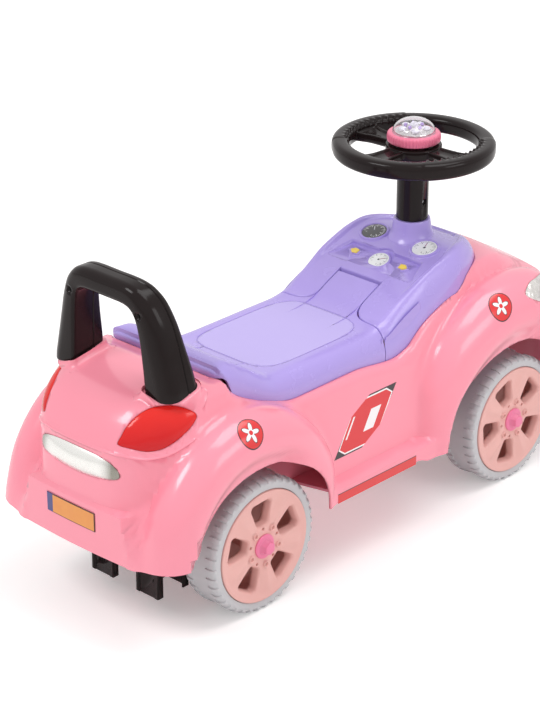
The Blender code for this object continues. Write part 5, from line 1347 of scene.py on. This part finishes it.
def rim_rows(steps, points=36):
    """Sections of the rim, once round. Each grip spans 87 degrees, with a stitch every 6.3."""
    rows = []
    for index in range(steps + 1):
        turn = 360.0 * index / steps
        beside = (turn + 90) % 180 - 90
        grip = float(step(43.5 - abs(beside), 0.0, 1.6))
        stitch = max(math.cos(math.tau * beside / 6.3), 0.0)
        stitched = float(step(41 - abs(beside), 0.0, 1.0))
        tooth = stitch ** 0.5 * stitched
        rung = stitch ** 6 * stitched
        row = []
        for part in range(points + 1):
            lean = 360.0 * (part % points) / points
            across = squared(math.cos(math.radians(lean)), 0.62)
            up = squared(math.sin(math.radians(lean)), 0.62)
            crown = math.exp(-((lean - 118) / 11) ** 2)
            side = math.exp(-((lean - 150) / 14) ** 2)
            reach = (0.0094 + 0.0006 * grip + 0.0016 * tooth * crown - 0.0007 * rung * side * grip
                     - 0.0006 * grip * (crown > 0.2) * (tooth < 0.2))
            radius = 0.0810 + across * reach
            row.append((radius * math.cos(math.radians(turn)),
                        column_y + radius * math.sin(math.radians(turn)), wheel_low + 0.010 + up * reach))
        rows.append(row)
    rows[-1] = rows[0]
    return rows


def spoke(degrees):
    """One spoke: a shallow trough with raised lips that widens towards the rim."""
    rows = []
    for along in np.linspace(0.0, 1.0, 15):
        radius = 0.020 + 0.056 * along
        half = 0.0105 + 0.0035 * along + 0.0055 * float(step(along, 0.55, 1.0))
        top = wheel_low + 0.0130 + 0.0012 * float(step(along, 0.7, 1.0))
        deep = 0.0030 * float(step(along, 0.05, 0.30)) * (1 - 0.6 * float(step(along, 0.75, 1.0)))
        profile = [(-half + 0.0014, wheel_low + 0.0030), (-half, wheel_low + 0.0050), (-half, top - 0.0012),
                   (-half + 0.0006, top - 0.0002), (-half + 0.0014, top), (-half + 0.0026, top),
                   (-half + 0.0034, top - 0.0004), (-half + 0.0050, top - deep * 0.8),
                   (-half + 0.0075, top - deep)]
        profile += [(-across, high) for across, high in reversed(profile)]
        profile.append(profile[0])
        rows.append([(radius, across, high) for across, high in profile])
    return moved(loft(rows), on_column @ Matrix.Rotation(math.radians(degrees), 4, "Z"))


steering_wheel = piece("steering_wheel_rim", loft(rim_rows(400)), black, "steering",
                       ["steering_wheel"], 50.0)
for degrees in (0, 180, 270):
    cut(steering_wheel, spoke(degrees), "UNION")
cup = turned([(0.0, 0.3795), (0.0215, 0.3795), (0.0262, 0.3806), (0.0298, 0.3832), (0.0313, 0.3868),
              (0.0315, 0.3940), (0.0309, 0.3952), (0.0300, 0.3955), (0.0, 0.3955)], round_steps)
cut(steering_wheel, moved(cup, on_column), "UNION")
cut(steering_wheel, rod(0.0053, 0.36, 0.3835, (0, column_y, 0), "Z", 28))
cut(steering_wheel, rod(0.0163, 0.3850, 0.42, (0, column_y, 0), "Z", 48))


# The button is a pink knurled ring that presses into the cup. A clear dome on it covers a
# silver reflector with six pale lenses and five small purple lights between them.
pink_ring = moulded("button_pink", (0.80, 0.165, 0.285), (0.84, 0.20, 0.32), 0.30, 0.1)
ring_profile = ((0.0135, 0.3880, 0), (0.0160, 0.3880, 0), (0.0160, 0.3984, 0), (0.0283, 0.3985, 0),
                (0.0292, 0.3988, 1), (0.0297, 0.3996, 1), (0.0300, 0.4020, 1), (0.0298, 0.4062, 1),
                (0.0293, 0.4076, 1), (0.0284, 0.4086, 0.5), (0.0272, 0.4090, 0), (0.0135, 0.4090, 0),
                (0.0135, 0.3880, 0))
ring_rows = []
ring_ridges = 48
ring_steps = ring_ridges * 6
for index in range(ring_steps + 1):
    turn = math.tau * (index % ring_steps) / ring_steps
    ridge = 0.0004 * (1 + math.cos(ring_ridges * turn))
    row = []
    for radius, high, share in ring_profile:
        reach = radius - ridge * share
        row.append((reach * math.cos(turn), column_y + reach * math.sin(turn), high))
    ring_rows.append(row)
piece("button_knurled_ring", loft(ring_rows), pink_ring, "button", ["button_ring"], 50.0)

dome_base = 0.4092
clear, clear_shader, clear_place = finish("dome_clear", Transmission_Weight=1.0, IOR=1.42)
clear_haze = clear_place.noise(220.0)
feed(clear_shader, "Base Color", clear_place.mix(clear_haze, (0.93, 0.92, 0.97), (0.99, 0.98, 1.0)))
skin(clear_shader, clear_haze, 0.02, 0.05, 0.2, 0.0001)


def dome_line(radius, height, steps=14):
    """Half a dome's outline, from its edge to its top."""
    return [(radius * math.cos(turn), dome_base + height * math.sin(turn))
            for turn in (math.pi / 2 * index / steps for index in range(steps))] + [(0.0, dome_base + height)]


outer = dome_line(0.0240, 0.0155)
dome_mesh = turned(outer + dome_line(0.0227, 0.0142)[::-1] + outer[:1], round_steps)
piece("button_clear_dome", moved(dome_mesh, on_column), clear, "button", ["button_dome"], 60.0)

reflector_mesh = turned([(radius, dome_base + high) for radius, high in
                         ((0.0, 0.0001), (0.0212, 0.0001), (0.0212, 0.0010), (0.0190, 0.0022), (0.0150, 0.0034),
                          (0.0110, 0.0050), (0.0080, 0.0064), (0.0, 0.0066))], round_steps)
piece("button_silver_reflector", moved(reflector_mesh, on_column), foil, "button", ["button_reflector"],
      40.0)
lamp_glass = moulded("light_purple", (0.42, 0.25, 0.72), (0.60, 0.45, 0.86), 0.12, 0.4)
lens_white = moulded("light_lens", (0.84, 0.84, 0.92), (0.95, 0.95, 0.98), 0.10, 0.3)
lenses = bmesh.new()
lights = bmesh.new()


def bead_place(reach, turn, high):
    """Where a lens or a light sits on the reflector."""
    return Matrix.Translation((reach * math.cos(turn), column_y + reach * math.sin(turn), dome_base + high))


for index in range(5):
    turn = math.tau * index / 5 + 0.5
    bmesh.ops.create_uvsphere(lenses, u_segments=20, v_segments=12, radius=0.0048,
                              matrix=bead_place(0.0135, turn, 0.0040) @ Matrix.Diagonal((1, 1, 0.62, 1)))
    bmesh.ops.create_uvsphere(lights, u_segments=16, v_segments=10, radius=0.0021,
                              matrix=bead_place(0.0095, turn + math.tau / 10, 0.0066))
bmesh.ops.create_uvsphere(lenses, u_segments=24, v_segments=14, radius=0.0050,
                          matrix=bead_place(0, 0, 0.0072) @ Matrix.Diagonal((1, 1, 0.75, 1)))
piece("button_lenses", outward(lenses), lens_white, "button", sharp=60.0)
piece("button_lights", outward(lights), lamp_glass, "button", sharp=60.0)


# Each road wheel is a soft grey tyre ring on a pale pink hub. The tyre has forty raised lugs on
# each shoulder. The hub has five deep windows, creased spokes and moulded bolt rings, and a
# deep pink cap snaps over the axle's end.
tyre_grey = moulded("tyre_grey", (0.53, 0.535, 0.555), (0.59, 0.595, 0.615), 0.55, gloss=0.3, grain=0.00008)
hub_pink = moulded("hub_salmon", (0.79, 0.435, 0.40), (0.83, 0.475, 0.435), 0.42, gloss=0.35)
cap_pink = moulded("cap_pink", (0.83, 0.19, 0.35), (0.87, 0.22, 0.39), 0.3, 0.1)
track_half = 0.091
lugs = 40
window_pitch = 72
hub_bore = 0.0044
hub_back = -0.0205
cap_seat = 0.0226
tyre_profile = [(0.0632, 0.0222, 0.0), (0.0637, 0.0228, 0.0), (0.0646, 0.0230, 0.0), (0.0690, 0.0230, 0.0),
                (0.0700, 0.0228, 0.0), (0.0705, 0.0225, 0.8), (0.0718, 0.0217, 1.0), (0.0729, 0.0203, 1.0),
                (0.0736, 0.0186, 1.0), (0.0739, 0.0168, 1.0), (0.0739, 0.0140, 1.0), (0.0739, 0.0112, 0.9),
                (0.0739, 0.0104, 0.0), (0.0739, 0.0050, 0.0)]
tyre_profile += [(radius, -x, lug) for radius, x, lug in reversed(tyre_profile)]
tyre_profile.append(tyre_profile[0])


def tyre_rows():
    """Sections of the tyre, once round, with a raised lug in each pitch."""
    rows = []
    for index in range(lugs):
        for share, raised in ((0.0, 0), (0.05, 1), (0.24, 1), (0.43, 1), (0.48, 0), (0.74, 0)):
            turn = math.tau * (index + share) / lugs
            row = []
            for radius, x, lug in tyre_profile:
                lift = 0.0016 * lug * raised
                radius += lift if abs(x) < 0.0200 else lift * 0.6
                x += math.copysign(lift * 0.7, x) if abs(x) > 0.0195 else 0.0
                row.append((x, radius * math.cos(turn), radius * math.sin(turn)))
            rows.append(row)
    rows.append(rows[0])
    return rows


def hub_face(radius):
    """How far out the hub's face stands at a radius."""
    return float(curve(radius, (0.013, 0.0226), (0.020, 0.0230), (0.030, 0.0226), (0.045, 0.0226),
                       (0.054, 0.0232), (0.0575, 0.0236), (0.0600, 0.0240)))


def window_outline(grow):
    """One hub window as (y, z) points, along and across its spoke gap, with rounded corners."""
    inner, outer, near, far, corner = 0.0240 - grow, 0.0512 + grow, 0.0060 + grow, 0.0152 + grow, 0.0050
    lean = math.degrees(math.atan2(far - near, outer - inner))
    points = arc((outer - corner, far - corner - 0.0010), corner, 0, 90 + lean, 6)
    points += arc((inner + corner, near - corner * 0.45), corner * 0.9, 90 + lean, 180, 5)
    return points + [(y, -z) for y, z in reversed(points)]


def road_wheel(name, side, axle_y, first_window):
    """Tyre, hub and cap of one wheel."""
    turn = Matrix.Rotation(math.pi, 4, "Z") if side < 0 else Matrix.Identity(4)
    place = Matrix.Translation((side * track_half, axle_y, axle_height)) @ turn
    along_x = Matrix.Rotation(math.radians(90), 4, "Y")
    piece(name + "_soft_tyre", moved(loft(tyre_rows()), place), tyre_grey, name, [name + "_tyre"],
          24.0)
    faces = [(radius, hub_face(radius)) for radius in (0.0130, 0.0165, 0.0200, 0.0245, 0.0290, 0.0345, 0.0400,
                                                       0.0455, 0.0500, 0.0540, 0.0572)]
    profile = ([(hub_bore, hub_back), (0.0627, hub_back), (0.0627, 0.0236), (0.0622, 0.0243), (0.0613, 0.0245),
                (0.0600, 0.0243), (0.0588, 0.0240)] + faces[::-1]
               + [(0.0110, 0.0224), (hub_bore, 0.0224), (hub_bore, hub_back)])
    steps = 160
    hub = moved(turned(profile, steps), along_x)
    for vert in hub.verts:
        radius = math.hypot(vert.co.y, vert.co.z)
        if vert.co.x > 0.022 and 0.024 < radius < 0.0575:
            angle = math.degrees(math.atan2(vert.co.z, vert.co.y)) - first_window
            beside = math.radians(abs(angle % window_pitch - window_pitch / 2)) * radius
            ridge = max(1 - beside / 0.0095, 0.0)
            vert.co.x += 0.0026 * ridge * float(step(radius, 0.024, 0.032) * (1 - step(radius, 0.050, 0.057)))
    made = piece(name + "_pink_hub", moved(hub, place), hub_pink, name, [name + "_hub"],
                 30.0)
    cavity = turned([(0.0110, -0.0185), (0.0595, -0.0185), (0.0595, 0.0120), (0.0110, 0.0120),
                     (0.0110, -0.0185)], steps)
    cut(made, moved(cavity, place @ along_x))
    windows = []
    rings = []
    for index in range(5):
        about = place @ Matrix.Rotation(math.radians(first_window + window_pitch * index), 4, "X")
        window = loft([[(x, y, z) for y, z in window_outline(grow) + window_outline(grow)[:1]]
                       for x, grow in ((0.004, -0.0014), (0.0150, -0.0008), (0.0206, 0.0), (0.0218, 0.0005),
                                       (0.0228, 0.0016), (0.0300, 0.0100))])
        windows += [moved(window, about), moved(rod(0.0018, 0.0205, 0.03, (0, 0.0205, 0), "X", 16), about)]
        ring = turned([(0.0022, 0.0215), (0.0038, 0.0215), (0.0038, 0.0244), (0.0034, 0.0251),
                       (0.0027, 0.0251), (0.0022, 0.0246), (0.0022, 0.0215)], 24)
        between = Matrix.Rotation(math.radians(window_pitch / 2), 4, "X")
        rings.append(moved(ring, about @ between @ Matrix.Translation((0, 0.0212, 0)) @ along_x))
    cut(made, join(*windows))
    cut(made, join(*rings), "UNION")
    cap = turned([(0.0, 0.0), (0.0132, 0.0), (0.0136, 0.0006), (0.0134, 0.0016), (0.0124, 0.0023),
                  (0.0108, 0.0025), (0.0, 0.0025)], 48)
    nose = prism(arc((0, 0), 0.0090, 0, 360, 6)[:-1], 0.0012, 0.0098)
    for vert in nose.verts:
        if vert.co.z > 0.005:
            vert.co.xy *= 0.80
    soften(nose, nose.edges[:], 0.0008, 3)
    on_hub = place @ Matrix.Translation((cap_seat, 0, 0)) @ along_x
    made = piece(name + "_axle_cap", moved(cap, on_hub), cap_pink, name, [name + "_cap"], 30.0)
    cut(made, moved(nose, on_hub), "UNION")


for side, label in sides:
    road_wheel("rear_wheel_" + label, side, rear_axle, 22)
    road_wheel("front_wheel_" + label, side, front_axle, 41)


# The rear stopper is a black moulding under the tail: a crossbar on two hollow legs with
# arched webs, which keeps the car from tipping back.
def block(low, high, rounding=0.0008):
    """A box with softened edges."""
    plan = [(low[0], low[1]), (high[0], low[1]), (high[0], high[1]), (low[0], high[1])]
    mesh = prism(plan, low[2], high[2])
    return soften(mesh, mesh.edges[:], rounding, 2)


stopper = piece("tip_stopper", block((-0.0505, -0.2768, 0.0945), (0.0505, -0.2242, 0.0977)), black, "chassis",
                ["rear_stopper"], 25.0)
legs = []
hollows = []
arches = []
leg_wall = 0.0025
for side in (-1, 1):
    low, high = sorted((side * 0.0175, side * 0.0505))
    legs.append(block((low, -0.273, 0.0235), (high, -0.228, 0.0960)))
    hollows.append(block((low + leg_wall, -0.273 + leg_wall, 0.0100), (high - leg_wall, -0.228 - leg_wall, 0.0935),
                         0.0012))
    middle = (low + high) / 2
    outline = [(0.0150, middle + 0.0115), (0.0150, middle - 0.0115)]
    outline += [(0.0620 + z, middle + x) for x, z in arc((0, 0), 0.0115, 180, 0, 12)]
    arches.append(prism(outline, -0.280, -0.2717, "Y"))
    outline = [(-0.2650, 0.0150), (-0.2360, 0.0150)]
    outline += arc((-0.2505, 0.0560), 0.0145, 0, 180, 12)
    arches.append(prism(outline, low - 0.01, high + 0.01, "X"))
cut(stopper, join(*legs), "UNION")
cut(stopper, join(*hollows))
for arch in arches:
    cut(stopper, arch)


# The floor pan, the storage box, the axles, the linkage and the screws keep their own shapes.
# They take the finishes of the pieces above, by their material slots.
plain = {
    "pink_plastic": pink,
    "purple_plastic": purple,
    "black_plastic": black,
    "grey_tyre": tyre_grey,
    "pale_pink_hub": hub_pink,
    "cap_pink": cap_pink,
    "lamp_red": moulded("lamp_red", (0.72, 0.012, 0.016), (0.80, 0.02, 0.022), 0.16, 0.4),
    "silver_foil": foil,
    "plate_orange": moulded("plate_orange", (0.74, 0.24, 0.035), (0.78, 0.27, 0.045), 0.35),
    "clear_dome": clear,
    "gauge_face": moulded("gauge_white", (0.78, 0.79, 0.80), (0.84, 0.85, 0.86), 0.35),
    "yellow_plastic": yellow,
    "steel": moulded("zinc_steel", (0.45, 0.45, 0.46), (0.60, 0.60, 0.62), 0.32),
}
finishes = {entry["node"]: plain[entry["material_slot"]] for entry in frame["record"]["subparts"]}
for name, item in frame["nodes"].items():
    for index in range(len(item.material_slots)):
        item.material_slots[index].material = finishes[name]
